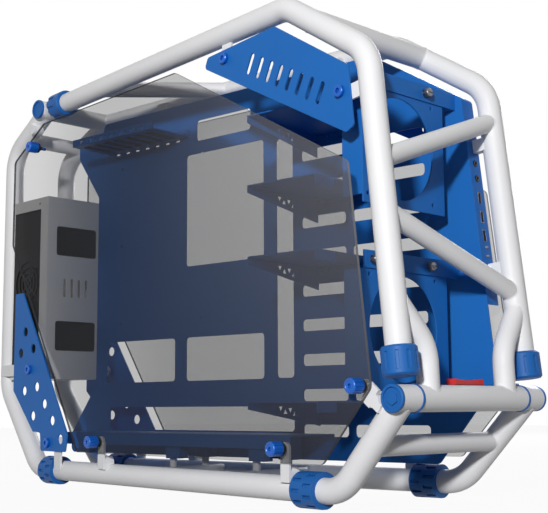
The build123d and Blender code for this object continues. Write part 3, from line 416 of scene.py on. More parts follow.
def smoke_and_painted_sheen(tree, spot, shader):
    """Gives a pane its grey, with a painted sheen towards its upper front; spot holds the place on the pane.
    """
    tint = tree.nodes.new("ShaderNodeGroup")
    tint.node_tree = grain
    tint.inputs["Colour"].default_value = SMOKE
    tint.inputs["Shade Colour"].default_value = SMOKE_SHADE
    tint.inputs["Tone Scale"].default_value = SMOKE_TONE_SCALE
    tint.inputs["Grain Scale"].default_value = SMOKE_GRAIN_SCALE
    tint.inputs["Roughness"].default_value = SMOKE_ROUGH
    tint.inputs["Roughness Range"].default_value = SMOKE_ROUGH_RANGE
    forward = ramp(tree, spot.outputs["X"], PAINTED_SHEEN_ALONG, (0, 1))
    upward = ramp(tree, spot.outputs["Z"], PAINTED_SHEEN_UP, (0, PAINTED_SHEEN_MOST), smooth=False)
    painted_sheen = tree.nodes.new("ShaderNodeMath")
    painted_sheen.operation = "MULTIPLY"
    sheen_mix = tree.nodes.new("ShaderNodeMix")
    sheen_mix.data_type = "RGBA"
    sheen_mix.inputs[COLOUR_B].default_value = PAINTED_SHEEN_COLOUR
    tree.links.new(forward.outputs["Result"], painted_sheen.inputs[0])
    tree.links.new(upward.outputs["Result"], painted_sheen.inputs[1])
    tree.links.new(painted_sheen.outputs[0], sheen_mix.inputs["Factor"])
    tree.links.new(tint.outputs["Colour"], sheen_mix.inputs[COLOUR_A])
    tree.links.new(sheen_mix.outputs[COLOUR_RESULT], shader.inputs["Base Color"])
    tree.links.new(tint.outputs["Roughness"], shader.inputs["Roughness"])


print("haze at most:", PAINTED_SHEEN_MOST)

# %% [markdown]
# A pane also shows a thin dark line at its cut edge. The panes turn in towards the rear, and a
# mask that compares the surface normal with their direction finds that edge, where the veil is
# nearly closed. The smoke stops much of the lamp's light too: shadow rays meet a thicker veil
# than the camera does. Both veils are thinner at the rear.

# %% Veil of the panes
TOE_IN = radians(4.3)
PANE_VEIL = 0.31
REAR_VEIL = 0.2
SHADOW_VEIL = 0.52
REAR_SHADOW_VEIL = 0.25
VEIL_ALONG = (-0.32, -0.12)
EDGE_VEIL = 0.9
EDGE_FACING = (0.6, 0.9)


def face_share(tree, side):
    """One on a pane's two faces and nought on its cut edge; side is -1 at the left, +1 at the right."""
    surface = tree.nodes.new("ShaderNodeNewGeometry")
    facing = tree.nodes.new("ShaderNodeVectorMath")
    facing.operation = "DOT_PRODUCT"
    facing.inputs[1].default_value = (-sin(TOE_IN), side * cos(TOE_IN), 0)
    size = tree.nodes.new("ShaderNodeMath")
    size.operation = "ABSOLUTE"
    tree.links.new(surface.outputs["Normal"], facing.inputs[0])
    tree.links.new(facing.outputs["Value"], size.inputs[0])
    return size.outputs[0]


def smoked_glass(name, side):
    """See-through grey sheet whose cut edge is dark."""
    material = bpy.data.materials.new(name)
    material.use_nodes = True
    tree = material.node_tree
    shader = tree.nodes["Principled BSDF"]
    shader.inputs["Specular IOR Level"].default_value = 0.0
    where = tree.nodes.new("ShaderNodeTexCoord")
    spot = tree.nodes.new("ShaderNodeSeparateXYZ")
    tree.links.new(where.outputs["Object"], spot.inputs["Vector"])
    smoke_and_painted_sheen(tree, spot, shader)
    seen = ramp(tree, spot.outputs["X"], VEIL_ALONG, (REAR_VEIL, PANE_VEIL))
    shade = ramp(tree, spot.outputs["X"], VEIL_ALONG, (REAR_SHADOW_VEIL, SHADOW_VEIL))
    veil = ramp(tree, face_share(tree, side), EDGE_FACING, (EDGE_VEIL, PANE_VEIL), smooth=False)
    tree.links.new(seen.outputs["Result"], veil.inputs["To Max"])
    rays = tree.nodes.new("ShaderNodeLightPath")
    cover = tree.nodes.new("ShaderNodeMix")
    tree.links.new(rays.outputs["Is Shadow Ray"], cover.inputs["Factor"])
    tree.links.new(veil.outputs["Result"], cover.inputs["A"])
    tree.links.new(shade.outputs["Result"], cover.inputs["B"])
    tree.links.new(cover.outputs["Result"], shader.inputs["Alpha"])
    return material


panes = {
    "left_pane": smoked_glass("smoked_pane_left", -1),
    "right_pane": smoked_glass("smoked_pane_right", 1),
}
print("panes:", sorted(panes))

# %% [markdown]
# ## Dressing the solids
#
# The record says which finish each solid takes. A loop hands them out, so a solid that is added
# later is dressed too.

# %% Dress the solids
slot_of = {row["node"]: row["material_slot"] for row in frame["record"]["subparts"]}
for name, solid in solids.items():
    material = panes.get(name) or finishes[slot_of[name]]
    solid.data.materials.clear()
    solid.data.materials.append(material)
print("dressed:", len(solids))

# %% [markdown]
# ## Places on the case
#
# Screws, rivets and welds sit on the sheets and tubes, so they need the same planes as the CAD
# model has. Each side loop stands in an upright plane that turns in towards the rear. A point
# there is a distance along the plane, a height, and a distance outwards, all in millimetres.

# %% Places
HALF_MID = 73.4
TRAY_IN = 22.0
loop_along = Vector((cos(TOE_IN), -sin(TOE_IN), 0))
loop_out = Vector((-sin(TOE_IN), -cos(TOE_IN), 0))


def to_side(vector, side):
    """A left-hand vector as it is on a side: -1 left, +1 right."""
    return Vector((vector.x, -side * vector.y, vector.z))


def on_loop(along, height, out=0.0, side=-1):
    """Place on a side loop's plane, in metres."""
    point = Vector((0, -HALF_MID, height)) + loop_along * along + loop_out * out
    return to_side(point, side) * MM


def on_tray(along, height, inward=0.0):
    """Place on the board tray's outer face, moved inwards, in metres."""
    return on_loop(along, height, -TRAY_IN - inward, side=1)


tray_inward = to_side(-loop_out, 1)
print("tray, above the origin:", [round(v, 4) for v in on_tray(0, 0)])

# %% [markdown]
# ## Ways of modelling
#
# A small piece is modelled once at the origin, standing up along Z, from a primitive that is
# cut and pushed in edit mode. Faces are picked by where they are and which way they look, as one
# would by hand.

# %% Picking faces
FLAT = 0.99
LEVEL = 0.1
AXIS_REACH = 0.05 * MM


def pick_faces(piece, wanted):
    """Selects, in edit mode, only the faces whose middle and normal are wanted."""
    bpy.ops.mesh.select_mode(type="FACE")
    bpy.ops.mesh.select_all(action="DESELECT")
    mesh = bmesh.from_edit_mesh(piece.data)
    for face in mesh.faces:
        face.select_set(bool(wanted(face.calc_center_median(), face.normal)))
    mesh.select_flush_mode()
    bmesh.update_edit_mesh(piece.data)


def near_axis(middle, reach=AXIS_REACH):
    """True where a face's middle lies close to the Z axis."""
    return hypot(middle.x, middle.y) < reach


def is_top(middle, normal):
    """True on a face that looks straight up."""
    return normal.z > FLAT


def is_cap(middle, normal):
    """True on a face that looks straight up or down."""
    return abs(normal.z) > FLAT


def is_side(middle, normal):
    """True on a face that looks sideways."""
    return abs(normal.z) < LEVEL


def is_middle_top(middle, normal):
    """True on the upward face around the axis."""
    return is_top(middle, normal) and near_axis(middle)


def is_middle_cap(middle, normal):
    """True on the upward and the downward face around the axis."""
    return is_cap(middle, normal) and near_axis(middle)


def is_middle_base(middle, normal):
    """True on the downward face around the axis."""
    return normal.z < -FLAT and near_axis(middle)


def side_number(normal, sides):
    """Number of a prism's long side, from the way that it looks."""
    turn = Vector((1, 0)).angle_signed(Vector((normal.x, normal.y)))
    return round(turn / (2 * pi) * sides - 0.5)


print("a face is flat within:", round(sqrt(1 - FLAT ** 2), 2), "rad")

# %% [markdown]
# Most pieces start as a cylinder and some as half a ball. Sinking a face is an extrusion
# downwards.

# %% Starting shapes
BALL_SEGMENTS = 20
BALL_RINGS = 12


def begin_cylinder(sides, radius, low, high):
    """Adds a cylinder along Z between two heights and opens it in edit mode."""
    bpy.ops.object.select_all(action="DESELECT")
    bpy.ops.mesh.primitive_cylinder_add(
        vertices=sides, radius=radius, depth=high - low, location=(0, 0, (low + high) / 2),
    )
    bpy.ops.object.transform_apply(location=True, rotation=True, scale=True)
    bpy.ops.object.mode_set(mode="EDIT")
    return bpy.context.object


def begin_dome(radius):
    """Adds the upper half of a ball, closed below, and leaves it open in edit mode."""
    bpy.ops.object.select_all(action="DESELECT")
    bpy.ops.mesh.primitive_uv_sphere_add(
        segments=BALL_SEGMENTS, ring_count=BALL_RINGS, radius=radius, location=(0, 0, 0),
    )
    bpy.ops.object.mode_set(mode="EDIT")
    bpy.ops.mesh.select_all(action="SELECT")
    bpy.ops.mesh.bisect(plane_co=(0, 0, 0), plane_no=(0, 0, 1), clear_inner=True, use_fill=True)
    return bpy.context.object


def sink(depth):
    """Extrudes the picked faces downwards."""
    bpy.ops.mesh.extrude_region_move(TRANSFORM_OT_translate={"value": (0, 0, -depth)})


print("ball faces:", BALL_SEGMENTS * BALL_RINGS)

# %% [markdown]
# Copies of the finished shape then go to their places and are joined to one piece, which takes
# its finish, rides on the frame's body and has its round faces smoothed.

# %% Setting pieces
ROUND_ANGLE = 35


def put_copies(pattern, name, places):
    """Copies a pattern to each place and axis, and joins the copies to one piece."""
    copies = []
    for spot, axis in places:
        copy = pattern.copy()
        copy.data = pattern.data.copy()
        bpy.context.scene.collection.objects.link(copy)
        turn = Vector(axis).to_track_quat("Z", "Y").to_matrix().to_4x4()
        copy.matrix_world = Matrix.Translation(spot) @ turn
        copies.append(copy)
    bpy.data.objects.remove(pattern)
    bpy.ops.object.select_all(action="DESELECT")
    for copy in copies:
        copy.select_set(True)
    bpy.context.view_layer.objects.active = copies[0]
    bpy.ops.object.transform_apply(location=True, rotation=True, scale=True)
    bpy.ops.object.join()
    piece = bpy.context.object
    piece.name = name
    return piece


def dress(piece, slot, material=None, smooth=ROUND_ANGLE):
    """Gives a new piece its finish, lets it ride on the frame and smooths its round faces."""
    piece.data.materials.clear()
    piece.data.materials.append(material or finishes[slot])
    bpy.ops.object.select_all(action="DESELECT")
    piece.select_set(True)
    bpy.context.view_layer.objects.active = piece
    bpy.ops.object.shade_smooth_by_angle(angle=radians(smooth))
    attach(piece, "frame")
    print(piece.name, "faces:", len(piece.data.polygons))


print("smooth below:", ROUND_ANGLE, "degrees")

# %% [markdown]
# ## Thumb screws of the panes
#
# A blue thumb screw holds each corner of a pane, with a black rubber washer under its head. The
# head is a barrel with a round rim, a shallow dish, a key hole and grip grooves. A lathe profile
# could give the barrel, but not the grooves, so it starts as a cylinder of 48 sides. A bevel
# makes the rim, and insets and an extrusion make the dish and the hole.

# %% Thumb screw head
HEAD_RADIUS = 7.5 * MM
HEAD_LOW = 4.0 * MM
HEAD_HIGH = 17.0 * MM
HEAD_SIDES = 48
RIM_ROUND = 1.7 * MM
RIM_FLAT = 0.9 * MM
DISH_STEP = 0.5 * MM
DISH_FLAT = 2.2 * MM
KEY_DEPTH = 2.4 * MM

thumb_head = begin_cylinder(HEAD_SIDES, HEAD_RADIUS, HEAD_LOW, HEAD_HIGH)
pick_faces(thumb_head, is_top)
bpy.ops.mesh.bevel(offset=RIM_ROUND, segments=4, affect="EDGES")
pick_faces(thumb_head, is_middle_top)
bpy.ops.mesh.inset(thickness=RIM_FLAT)
bpy.ops.mesh.inset(thickness=DISH_STEP, depth=-DISH_STEP)
bpy.ops.mesh.inset(thickness=DISH_FLAT)
sink(KEY_DEPTH)
bpy.ops.object.mode_set(mode="OBJECT")
print("head faces:", len(thumb_head.data.polygons))

# %% [markdown]
# For the grip, every fourth side is pushed in. The walls of the key hole look sideways too, so
# only sides that lie well out from the axis count. The shank grows from the head's underside.

# %% Grip grooves and shank
GROOVE_EVERY = 4
GROOVE_MARGIN = 0.12 * MM
GROOVE_DEPTH = 0.7 * MM
OUTER_SHARE = 0.9
SHANK_RADIUS = 2.4 * MM
SHANK_LENGTH = 14.0 * MM


def in_groove(middle, normal):
    """True on every fourth outer side of the head."""
    if not is_side(middle, normal) or near_axis(middle, HEAD_RADIUS * OUTER_SHARE):
        return False
    return side_number(normal, HEAD_SIDES) % GROOVE_EVERY == 0


bpy.ops.object.mode_set(mode="EDIT")
pick_faces(thumb_head, in_groove)
bpy.ops.mesh.inset(thickness=GROOVE_MARGIN, depth=-GROOVE_DEPTH, use_individual=True)
pick_faces(thumb_head, is_middle_base)
bpy.ops.mesh.inset(thickness=HEAD_RADIUS - SHANK_RADIUS)
sink(SHANK_LENGTH)
bpy.ops.object.mode_set(mode="OBJECT")
print("grooved head faces:", len(thumb_head.data.polygons))

# %% Set the thumb screws
PANE_FACE = 18.1
PANE_SCREWS = ((-281.0, 458.0), (-112.0, 58.0), (235.0, 58.0), (349.0, 118.0))
screw_places = [
    (on_loop(*screw, PANE_FACE, side), to_side(loop_out, side)) for side in (-1, 1) for screw in PANE_SCREWS
]
thumb_screws = put_copies(thumb_head, "pane_thumb_screws", screw_places)
dress(thumb_screws, "blue_anodised")
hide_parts("pane_screws")

# %% [markdown]
# The washer is a rubber ring with a rounded outer edge. It is a cylinder whose rims are bevelled
# and whose two caps are inset and bridged to a hole.

# %% Rubber washers
WASHER_RADIUS = 6.7 * MM
WASHER_BORE = 2.7 * MM
WASHER_HEIGHT = 4.0 * MM
WASHER_ROUND = 1.0 * MM
WASHER_SIDES = 40

washer = begin_cylinder(WASHER_SIDES, WASHER_RADIUS, 0, WASHER_HEIGHT)
pick_faces(washer, is_cap)
bpy.ops.mesh.bevel(offset=WASHER_ROUND, segments=3, affect="EDGES")
pick_faces(washer, is_middle_cap)
bpy.ops.mesh.inset(thickness=WASHER_RADIUS - WASHER_ROUND - WASHER_BORE, use_individual=True)
bpy.ops.mesh.bridge_edge_loops()
bpy.ops.object.mode_set(mode="OBJECT")
washers = put_copies(washer, "pane_screw_washers", screw_places)
dress(washers, "dark_rubber")

# %% [markdown]
# ## Bright screws of the fan brackets
#
# Four plated thumb screws hold the fan brackets to their bars. They are low, so their rim is
# knurled all round, their face is a low dome and a slot crosses it. The knurl pushes every other
# side of a cylinder in, three small insets that rise make the dome, and the slot is a strip of
# the face, cut with two bisects and sunk.

# %% Fan bracket screw
FAN_HEAD_RADIUS = 5.0 * MM
FAN_HEAD_HEIGHT = 6.0 * MM
FAN_HEAD_SIDES = 40
KNURL_MARGIN = 0.08 * MM
KNURL_DEPTH = 0.3 * MM
DOME_STEPS_IN_AND_UP = ((0.3, 0.5), (0.5, 0.45), (0.8, 0.35))
SLOT_HALF = 0.6 * MM
SLOT_DEPTH = 1.2 * MM
FAN_SHANK_RADIUS = 1.9 * MM
FAN_SHANK_LENGTH = 6.8 * MM


def in_knurl(middle, normal):
    """True on every other long side."""
    return is_side(middle, normal) and side_number(normal, FAN_HEAD_SIDES) % 2 == 0


def on_dome_top(middle, normal):
    """True on the flat top of the dome, whole or cut."""
    return is_top(middle, normal) and near_axis(middle, FAN_HEAD_RADIUS / 2)


fan_head = begin_cylinder(FAN_HEAD_SIDES, FAN_HEAD_RADIUS, 0, FAN_HEAD_HEIGHT)
pick_faces(fan_head, in_knurl)
bpy.ops.mesh.inset(thickness=KNURL_MARGIN, depth=-KNURL_DEPTH, use_individual=True)
pick_faces(fan_head, is_middle_top)
for step_in, step_up in DOME_STEPS_IN_AND_UP:
    bpy.ops.mesh.inset(thickness=step_in * MM, depth=step_up * MM)
for offset in (-SLOT_HALF, SLOT_HALF):
    pick_faces(fan_head, on_dome_top)
    bpy.ops.mesh.bisect(plane_co=(0, offset, 0), plane_no=(0, 1, 0))
pick_faces(fan_head, is_middle_top)
sink(SLOT_DEPTH)
pick_faces(fan_head, is_middle_base)
bpy.ops.mesh.inset(thickness=FAN_HEAD_RADIUS - FAN_SHANK_RADIUS)
sink(FAN_SHANK_LENGTH)
bpy.ops.object.mode_set(mode="OBJECT")
print("fan screw faces:", len(fan_head.data.polygons))

# %% Set the fan bracket screws
FAN_BAR_FACE = 321.0
FAN_SCREW_ACROSS = (22.0, -68.0)
FAN_SCREW_HEIGHTS = (243.0, 429.0)
fan_screw_places = [
    (Vector((FAN_BAR_FACE, across, height)) * MM, (1, 0, 0))
    for across in FAN_SCREW_ACROSS for height in FAN_SCREW_HEIGHTS
]
fan_screws = put_copies(fan_head, "fan_thumb_screws", fan_screw_places)
dress(fan_screws, "bright_steel")
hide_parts("fan_bracket_screws")

# %% [markdown]
# ## Welds
#
# The tubes are welded where one runs into another, and the paint leaves a small rippled bead
# along the seam. The joints at the bumper's ends are ground flush and have none. To find the
# seams, the tubes' middle lines are needed: the corners of a side loop, and where along it the
# other tubes meet it.

# %% Tube lines
CROSS = (-291.0, 516.0)
PEAK = (227.0, 520.0)
BROW = (347.0, 443.0)
UPRIGHT_END = (381.7, 129.0)
BUMPER = (383.0, 106.3)
REAR_HIGH_KNEE = (-384.7, 468.0)
FRONT_KNEE = (302.0, 18.0)
FLOOR_AXIS = 18.0
ACROSS = Vector((0, 1, 0))


def between(start, end, distance):
    """Point of a loop's plane at a distance from start towards end."""
    share = distance / hypot(end[0] - start[0], end[1] - start[1])
    return (start[0] + (end[0] - start[0]) * share, start[1] + (end[1] - start[1]) * share)


def upright_at(height):
    """Distance along the loop of the front upright's axis at a height."""
    share = (BROW[1] - height) / (BROW[1] - UPRIGHT_END[1])
    return BROW[0] + (UPRIGHT_END[0] - BROW[0]) * share


def run_of(start, end, side):
    """Direction of a tube between two points of a side loop's plane."""
    return (on_loop(*end, side=side) - on_loop(*start, side=side)).normalized()


def upright_point(height, side):
    """Place on a front upright's axis."""
    return on_loop(upright_at(height), height, side=side)


print("upright's lower end:", [round(v, 3) for v in upright_point(UPRIGHT_END[1], -1)])

# %% [markdown]
# A joint is a place, the direction and radius of the branch tube that ends there, and the
# direction of the tube that it runs into. The slanted braces meet the two sides at different
# places, so a side takes its own place first and the other's second.

# %% Joints of the tubes
LOOP_RADIUS = 12.7
BRACE_RADIUS = 10.0
BAR_RADIUS = 10.5
STRUT_RADIUS = 11.0
TOP_CROSS_REACH = 44.0
LOW_CROSS_REACH = 60.0
REAR_BAR_REACH = 66.0
FLOOR_TUBES = (-45.0, 92.0)
STRUT_Y = -63.0
STRUT_LEAN = 2.0
STRUT_KNEE_HEIGHT = 155.0
STRUT_END_HEIGHT = 201.0
FRONT_BRACE_HEIGHTS = ((333.0, 406.0), (283.0, 216.0))
TOP_BRACE_REACH = (135.0, 253.0)


def own_first(pair, side):
    """A pair of left and right as own and other, for a side."""
    return pair if side < 0 else (pair[1], pair[0])


def joints_on(side):
    """Each joint of one side: place, branch direction, branch radius, mate direction."""
    inward = ACROSS * -side
    brow_run = run_of(PEAK, BROW, side)
    top_run = run_of(CROSS, PEAK, side)
    rear_run = run_of(CROSS, REAR_HIGH_KNEE, side)
    slant_run = run_of(FRONT_KNEE, BUMPER, side)
    upright_run = run_of(BROW, UPRIGHT_END, side)
    floor_run = to_side(loop_along, side)
    bumper_place = on_loop(*BUMPER, side=side)
    cross_place = on_loop(*CROSS, side=side)
    strut_foot = Vector((bumper_place.x, -side * STRUT_Y * MM, bumper_place.z))
    strut_knee = Vector((bumper_place.x - STRUT_LEAN * MM, strut_foot.y, STRUT_KNEE_HEIGHT * MM))
    strut_end = upright_point(STRUT_END_HEIGHT, side)
    rows = [
        (on_loop(*between(PEAK, BROW, TOP_CROSS_REACH), side=side), inward, LOOP_RADIUS, brow_run),
        (on_loop(*between(FRONT_KNEE, BUMPER, LOW_CROSS_REACH), side=side), inward, BRACE_RADIUS, slant_run),
        (on_loop(*between(CROSS, REAR_HIGH_KNEE, REAR_BAR_REACH), side=side), inward, BAR_RADIUS, rear_run),
    ]
    for along in FLOOR_TUBES:
        rows.append((on_loop(along, FLOOR_AXIS, side=side), inward, BRACE_RADIUS, floor_run))
    rows += [
        (cross_place, top_run, LOOP_RADIUS, ACROSS),
        (cross_place, rear_run, LOOP_RADIUS, ACROSS),
        (strut_foot, strut_knee - strut_foot, STRUT_RADIUS, ACROSS),
        (strut_end, strut_knee - strut_end, STRUT_RADIUS, upright_run),
    ]
    for heights in FRONT_BRACE_HEIGHTS:
        own, other = own_first(heights, side)
        here = upright_point(own, side)
        there = upright_point(other, -side)
        rows.append((here, there - here, BRACE_RADIUS, upright_run))
    own, other = own_first(TOP_BRACE_REACH, side)
    here = on_loop(*between(CROSS, PEAK, own), side=side)
    there = on_loop(*between(CROSS, PEAK, other), side=-side)
    rows.append((here, there - here, BRACE_RADIUS, top_run))
    return rows


joints = joints_on(-1) + joints_on(1)
print("joints:", len(joints))

# %% [markdown]
# The seam of two round tubes is a saddle-shaped line that a torus can't follow. Each of its
# points is found as where a line along the one tube meets the other's wall. A curve through the
# points, with a round bevel and a radius that swells and shrinks, is the bead.

# %% Weld beads
BEAD_RADIUS = 0.6 * MM
SEAM_POINTS = 96
RIPPLES = 24
RIPPLE_SWELL = 0.22


def seam_points(middle, branch, radius, mate):
    """Points of the line where a branch tube meets the wall of its mate."""
    branch = branch.normalized()
    mate = mate.normalized()
    sideways = branch.cross(mate).normalized()
    other = branch.cross(sideways)
    slope = branch - mate * branch.dot(mate)
    points = []
    for index in range(SEAM_POINTS):
        turn = 2 * pi * index / SEAM_POINTS
        start = (sideways * cos(turn) + other * sin(turn)) * radius * MM
        lean = start - mate * start.dot(mate)
        square = slope.dot(slope)
        half = lean.dot(slope)
        rest = lean.dot(lean) - (LOOP_RADIUS * MM) ** 2
        reach = (-half + sqrt(max(half * half - square * rest, 0))) / square
        points.append(middle + start + branch * reach)
    return points


bead_line = bpy.data.curves.new("weld_beads", "CURVE")
bead_line.dimensions = "3D"
bead_line.bevel_depth = BEAD_RADIUS
bead_line.bevel_resolution = 1
for joint in joints:
    bead = bead_line.splines.new("POLY")
    bead.points.add(SEAM_POINTS - 1)
    bead.use_cyclic_u = True
    for index, spot in enumerate(seam_points(*joint)):
        bead.points[index].co = (*spot, 1)
        bead.points[index].radius = 1 + RIPPLE_SWELL * cos(2 * pi * RIPPLES * index / SEAM_POINTS)
weld_beads = bpy.data.objects.new("weld_beads", bead_line)
bpy.context.scene.collection.objects.link(weld_beads)
bpy.ops.object.select_all(action="DESELECT")
weld_beads.select_set(True)
bpy.context.view_layer.objects.active = weld_beads
bpy.ops.object.convert(target="MESH")
weld_beads = bpy.context.object
dress(weld_beads, "white_paint", smooth=60)

# %% [markdown]
# ## Rivets of the folded sheets
#
# The shelves, the slot bracket, the floor and the fan bars are riveted to the board tray. A pop
# rivet has a low dome with a small dent where its pin broke off. The dome is a sphere cut in
# half and flattened, and its top ring of faces is pushed back in.

# %% Rivet
RIVET_RADIUS = 2.6 * MM
RIVET_HEIGHT = 1.1 * MM
DENT_RADIUS = 0.78 * MM
DENT_DEPTH = 0.6 * MM

rivet = begin_dome(RIVET_RADIUS)
bpy.ops.mesh.select_all(action="SELECT")
bpy.ops.transform.resize(value=(1, 1, RIVET_HEIGHT / RIVET_RADIUS))
pick_faces(rivet, lambda middle, normal: normal.z > 0 and near_axis(middle, DENT_RADIUS))
sink(DENT_DEPTH)
bpy.ops.object.mode_set(mode="OBJECT")
print("rivet faces:", len(rivet.data.polygons))

# %% [markdown]
# A rivet shows its head on both faces of the tray. The supply bracket's flange lies on the
# tray's outer face, so its rivets stand one sheet further out and show there only.

# %% Set the rivets
SHEET = 1.5
SHELF_RIVETS_ALONG = (143.0, 205.0)
SHELF_HEIGHTS = (425.0, 345.0, 264.5, 105.0)
SHELF_RIVET_DROP = 4.0
BRACKET_RIVETS_ALONG = (-249.0, -175.0, -101.0)
BRACKET_RIVET_HEIGHT = 465.5
FLOOR_RIVETS_ALONG = (-200.0, -90.0, 30.0, 125.0)
FLOOR_RIVET_HEIGHT = 59.0
FAN_BAR_RIVETS_ALONG = 313.0
SUPPLY_RIVETS_ALONG = -269.0
SUPPLY_RIVET_HEIGHTS = (180.0, 265.0, 350.0)

rivet_rows = [
    (along, height - SHELF_RIVET_DROP) for along in SHELF_RIVETS_ALONG for height in SHELF_HEIGHTS
]
rivet_rows += [(along, BRACKET_RIVET_HEIGHT) for along in BRACKET_RIVETS_ALONG]
rivet_rows += [(along, FLOOR_RIVET_HEIGHT) for along in FLOOR_RIVETS_ALONG]
rivet_rows += [(FAN_BAR_RIVETS_ALONG, height) for height in FAN_SCREW_HEIGHTS]
rivet_places = [(on_tray(*row), -tray_inward) for row in rivet_rows]
rivet_places += [(on_tray(*row, 2 * SHEET), tray_inward) for row in rivet_rows]
rivet_places += [
    (on_tray(SUPPLY_RIVETS_ALONG, height, -SHEET), -tray_inward) for height in SUPPLY_RIVET_HEIGHTS
]
rivets = put_copies(rivet, "tray_rivets", rivet_places)
dress(rivets, "blue_paint", smooth=50)

# %% [markdown]
# ## Press nuts of the board holes
#
# The board holes have blind nuts pressed into the tray from behind, so the holes look dark and
# not clear. A nut is a six-sided prism with rounded corners and a dished end, which two insets
# make.

# %% Press nuts
NUT_SIDES = 6
NUT_RADIUS = 3.6 * MM
NUT_HEIGHT = 3.0 * MM
NUT_CORNER = 0.5 * MM
NUT_RIM = 0.9 * MM
NUT_DISH_SLOPE = 0.4 * MM
NUT_DISH_DEPTH = 0.6 * MM
BOARD_HOLES = ((-228.0, 214.0), (-228.0, 324.0), (-228.0, 434.0), (-70.5, 214.0))

nut = begin_cylinder(NUT_SIDES, NUT_RADIUS, 0, NUT_HEIGHT)
pick_faces(nut, is_side)
bpy.ops.mesh.bevel(offset=NUT_CORNER, segments=3, affect="EDGES")
pick_faces(nut, is_top)
bpy.ops.mesh.inset(thickness=NUT_RIM)
bpy.ops.mesh.inset(thickness=NUT_DISH_SLOPE, depth=-NUT_DISH_DEPTH)
bpy.ops.object.mode_set(mode="OBJECT")
nut_places = [(on_tray(*hole), -tray_inward) for hole in BOARD_HOLES]
nuts = put_copies(nut, "tray_press_nuts", nut_places)
dress(nuts, "blue_paint")

# %% [markdown]
# ## Dust filter of the supply's guard, partly painted shade
#
# Behind the round finger guard lies a black dust filter. Its black is partly painted shade, which stands in
# for the shaded inside of the supply bracket, so the guard shows dark and not clear.
# It is a thin disc with a raised rim and a low net of squares. The net is cut into the disc's
# face by bisects, and each square is inset and sunk a little.

# %% Dust filter and painted shade
FILTER_RADIUS = 33.0 * MM
FILTER_HEIGHT = 0.6 * MM
FILTER_SIDES = 64
FILTER_RIM = 1.6 * MM
FILTER_PLACE = Vector((-328.0, -52.4, 273.5)) * MM
NET_PITCH = 4.4 * MM
NET_STEPS = 6
NET_MARGIN = 2.4 * MM
NET_WIRE = 0.35 * MM
NET_DEPTH = 0.25 * MM


def inside_by(margin):
    """Condition for the filter's upper faces that lie further in than a margin."""
    return lambda middle, normal: is_top(middle, normal) and near_axis(middle, FILTER_RADIUS - margin)


dust_filter_and_shade = begin_cylinder(FILTER_SIDES, FILTER_RADIUS, -FILTER_HEIGHT, 0)
pick_faces(dust_filter_and_shade, is_top)
bpy.ops.mesh.inset(thickness=FILTER_RIM)
for direction in ((1, 0, 0), (0, 1, 0)):
    for step in range(-NET_STEPS, NET_STEPS + 1):
        cut = Vector(direction) * NET_PITCH * (step + 0.5)
        pick_faces(dust_filter_and_shade, inside_by(FILTER_RIM))
        bpy.ops.mesh.bisect(plane_co=cut, plane_no=direction)
pick_faces(dust_filter_and_shade, inside_by(NET_MARGIN))
bpy.ops.mesh.inset(thickness=NET_WIRE, depth=-NET_DEPTH, use_individual=True)
bpy.ops.object.mode_set(mode="OBJECT")
filter_and_shade_piece = put_copies(dust_filter_and_shade, "supply_dust_filter_and_shade", [(FILTER_PLACE, (0, -1, 0))])
# The filter's black is partly painted shade for the supply bracket's dark inside.
dress(filter_and_shade_piece, "black_paint")

# %% [markdown]
# ## Front ports
#
# The strip beside the right upright has two jacks, three USB sockets and two small lights. The
# shells are solids already. A tongue goes in each socket, a plated ring in each jack and a domed
# lens in each light hole. The strip leans with the upright, so places on it are marked by their
# distance from its lower end.

# %% Port places
PORTS_LOW = 250.0
PORTS_HIGH = 370.0
FRONT_EDGE_GAP = 20.0
PORT_LINE = 10.75
low_edge = on_tray(upright_at(PORTS_LOW) - FRONT_EDGE_GAP, PORTS_LOW)
high_edge = on_tray(upright_at(PORTS_HIGH) - FRONT_EDGE_GAP, PORTS_HIGH)
strip_up = (high_edge - low_edge).normalized()
strip_out = strip_up.cross(tray_inward)
strip_out *= 1 if strip_out.x > 0 else -1


def on_strip(mark, lift=0.0):
    """Place on the port strip at a mark above its lower end, lifted off its face."""
    return low_edge + strip_up * mark * MM - tray_inward * PORT_LINE * MM + strip_out * lift * MM


def set_on_strip(pattern, name, marks, lift):
    """Copies a pattern, whose Y runs up the strip, to marks of the strip."""
    turn = Matrix((strip_up.cross(strip_out), strip_up, strip_out)).transposed().to_4x4()
    pattern.matrix_world = turn
    bpy.ops.object.select_all(action="DESELECT")
    pattern.select_set(True)
    bpy.context.view_layer.objects.active = pattern
    bpy.ops.object.transform_apply(location=True, rotation=True, scale=True)
    return put_copies(pattern, name, [(on_strip(mark, lift), (0, 0, 1)) for mark in marks])


print("strip faces:", [round(v, 3) for v in strip_out])

# %% [markdown]
# A socket's tongue is a small black board with four contacts. It is a cube that bisects cut
# across into strips. Four strips of one face rise as contacts, and the end that shows is drawn
# out to a smaller tip.

# %% USB tongues
TONGUE = (1.7 * MM, 10.4 * MM, 9.0 * MM)
CONTACT_PITCH = 1.3 * MM
CUTS_EACH_WAY = 3
CONTACT_STRIPS = (0, 2)
CONTACT_MARGIN = 0.15 * MM
CONTACT_RISE = 0.2 * MM
TIP_STEP = 0.25 * MM
USB_MARKS = (72.0, 51.0, 30.0)
TONGUE_LIFT = -5.6


def is_contact(middle, normal):
    """True on the first and third strip of a face, counted from its middle both ways."""
    return normal.x > FLAT and round(abs(middle.y) / CONTACT_PITCH - 0.5) in CONTACT_STRIPS


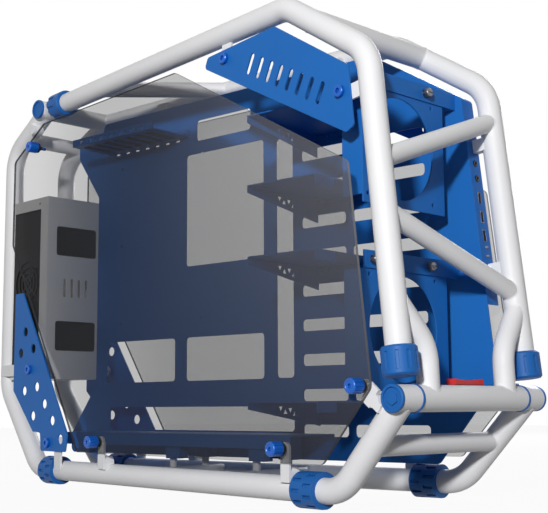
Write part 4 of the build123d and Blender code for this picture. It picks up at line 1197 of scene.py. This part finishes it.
bpy.ops.object.select_all(action="DESELECT")
bpy.ops.mesh.primitive_cube_add(size=1, location=(0, 0, 0))
tongue = bpy.context.object
tongue.scale = TONGUE
bpy.ops.object.transform_apply(location=True, rotation=True, scale=True)
bpy.ops.object.mode_set(mode="EDIT")
for step in range(-CUTS_EACH_WAY, CUTS_EACH_WAY + 1):
    bpy.ops.mesh.select_all(action="SELECT")
    bpy.ops.mesh.bisect(plane_co=(0, CONTACT_PITCH * step, 0), plane_no=(0, 1, 0))
pick_faces(tongue, is_contact)
bpy.ops.mesh.inset(thickness=CONTACT_MARGIN, depth=CONTACT_RISE, use_individual=True)
pick_faces(tongue, is_top)
bpy.ops.mesh.inset(thickness=TIP_STEP, depth=TIP_STEP)
bpy.ops.object.mode_set(mode="OBJECT")
tongues = set_on_strip(tongue, "usb_tongues", USB_MARKS, TONGUE_LIFT)
dress(tongues, "black_plastic")

# %% [markdown]
# A jack's ring is a short cylinder whose caps are inset and bridged to a bore. The edges of its
# outer face are bevelled.

# %% Jack rings
RING_RADIUS = 2.9 * MM
RING_HEIGHT = 0.8 * MM
RING_WALL = 1.1 * MM
RING_ROUND = 0.25 * MM
RING_SIDES = 32
JACK_MARKS = (111.0, 94.0)
RING_LIFT = 0.8

ring = begin_cylinder(RING_SIDES, RING_RADIUS, -RING_HEIGHT / 2, RING_HEIGHT / 2)
pick_faces(ring, is_cap)
bpy.ops.mesh.inset(thickness=RING_WALL, use_individual=True)
bpy.ops.mesh.bridge_edge_loops()
pick_faces(ring, is_top)
bpy.ops.mesh.bevel(offset=RING_ROUND, segments=2, affect="EDGES")
bpy.ops.object.mode_set(mode="OBJECT")
rings = set_on_strip(ring, "jack_rings", JACK_MARKS, RING_LIFT)
dress(rings, "bright_steel")

# %% [markdown]
# A light's lens is half a ball on a short stem that fills its hole. It is smoother and glossier
# than the other plastics, so it gets a finish of its own.

# %% Light lenses
LENS_RADIUS = 1.3 * MM
LENS_STEM = 3.0 * MM
LIGHT_MARKS = (17.5, 8.0)
LENS_LIFT = -0.4

dome = begin_dome(LENS_RADIUS)
pick_faces(dome, lambda middle, normal: normal.z < -FLAT)
sink(LENS_STEM)
bpy.ops.object.mode_set(mode="OBJECT")
lenses = set_on_strip(dome, "light_lenses", LIGHT_MARKS, LENS_LIFT)
lens_finish = finish(
    "light_lens", linear(150, 152, 156), linear(136, 138, 142),
    rough=0.15, grain_size=2.0 * MM, bump=0.01 * MM, edge=0.2 * MM, Specular_IOR_Level=0.5,
)
dress(lenses, "smoked_glass", lens_finish)
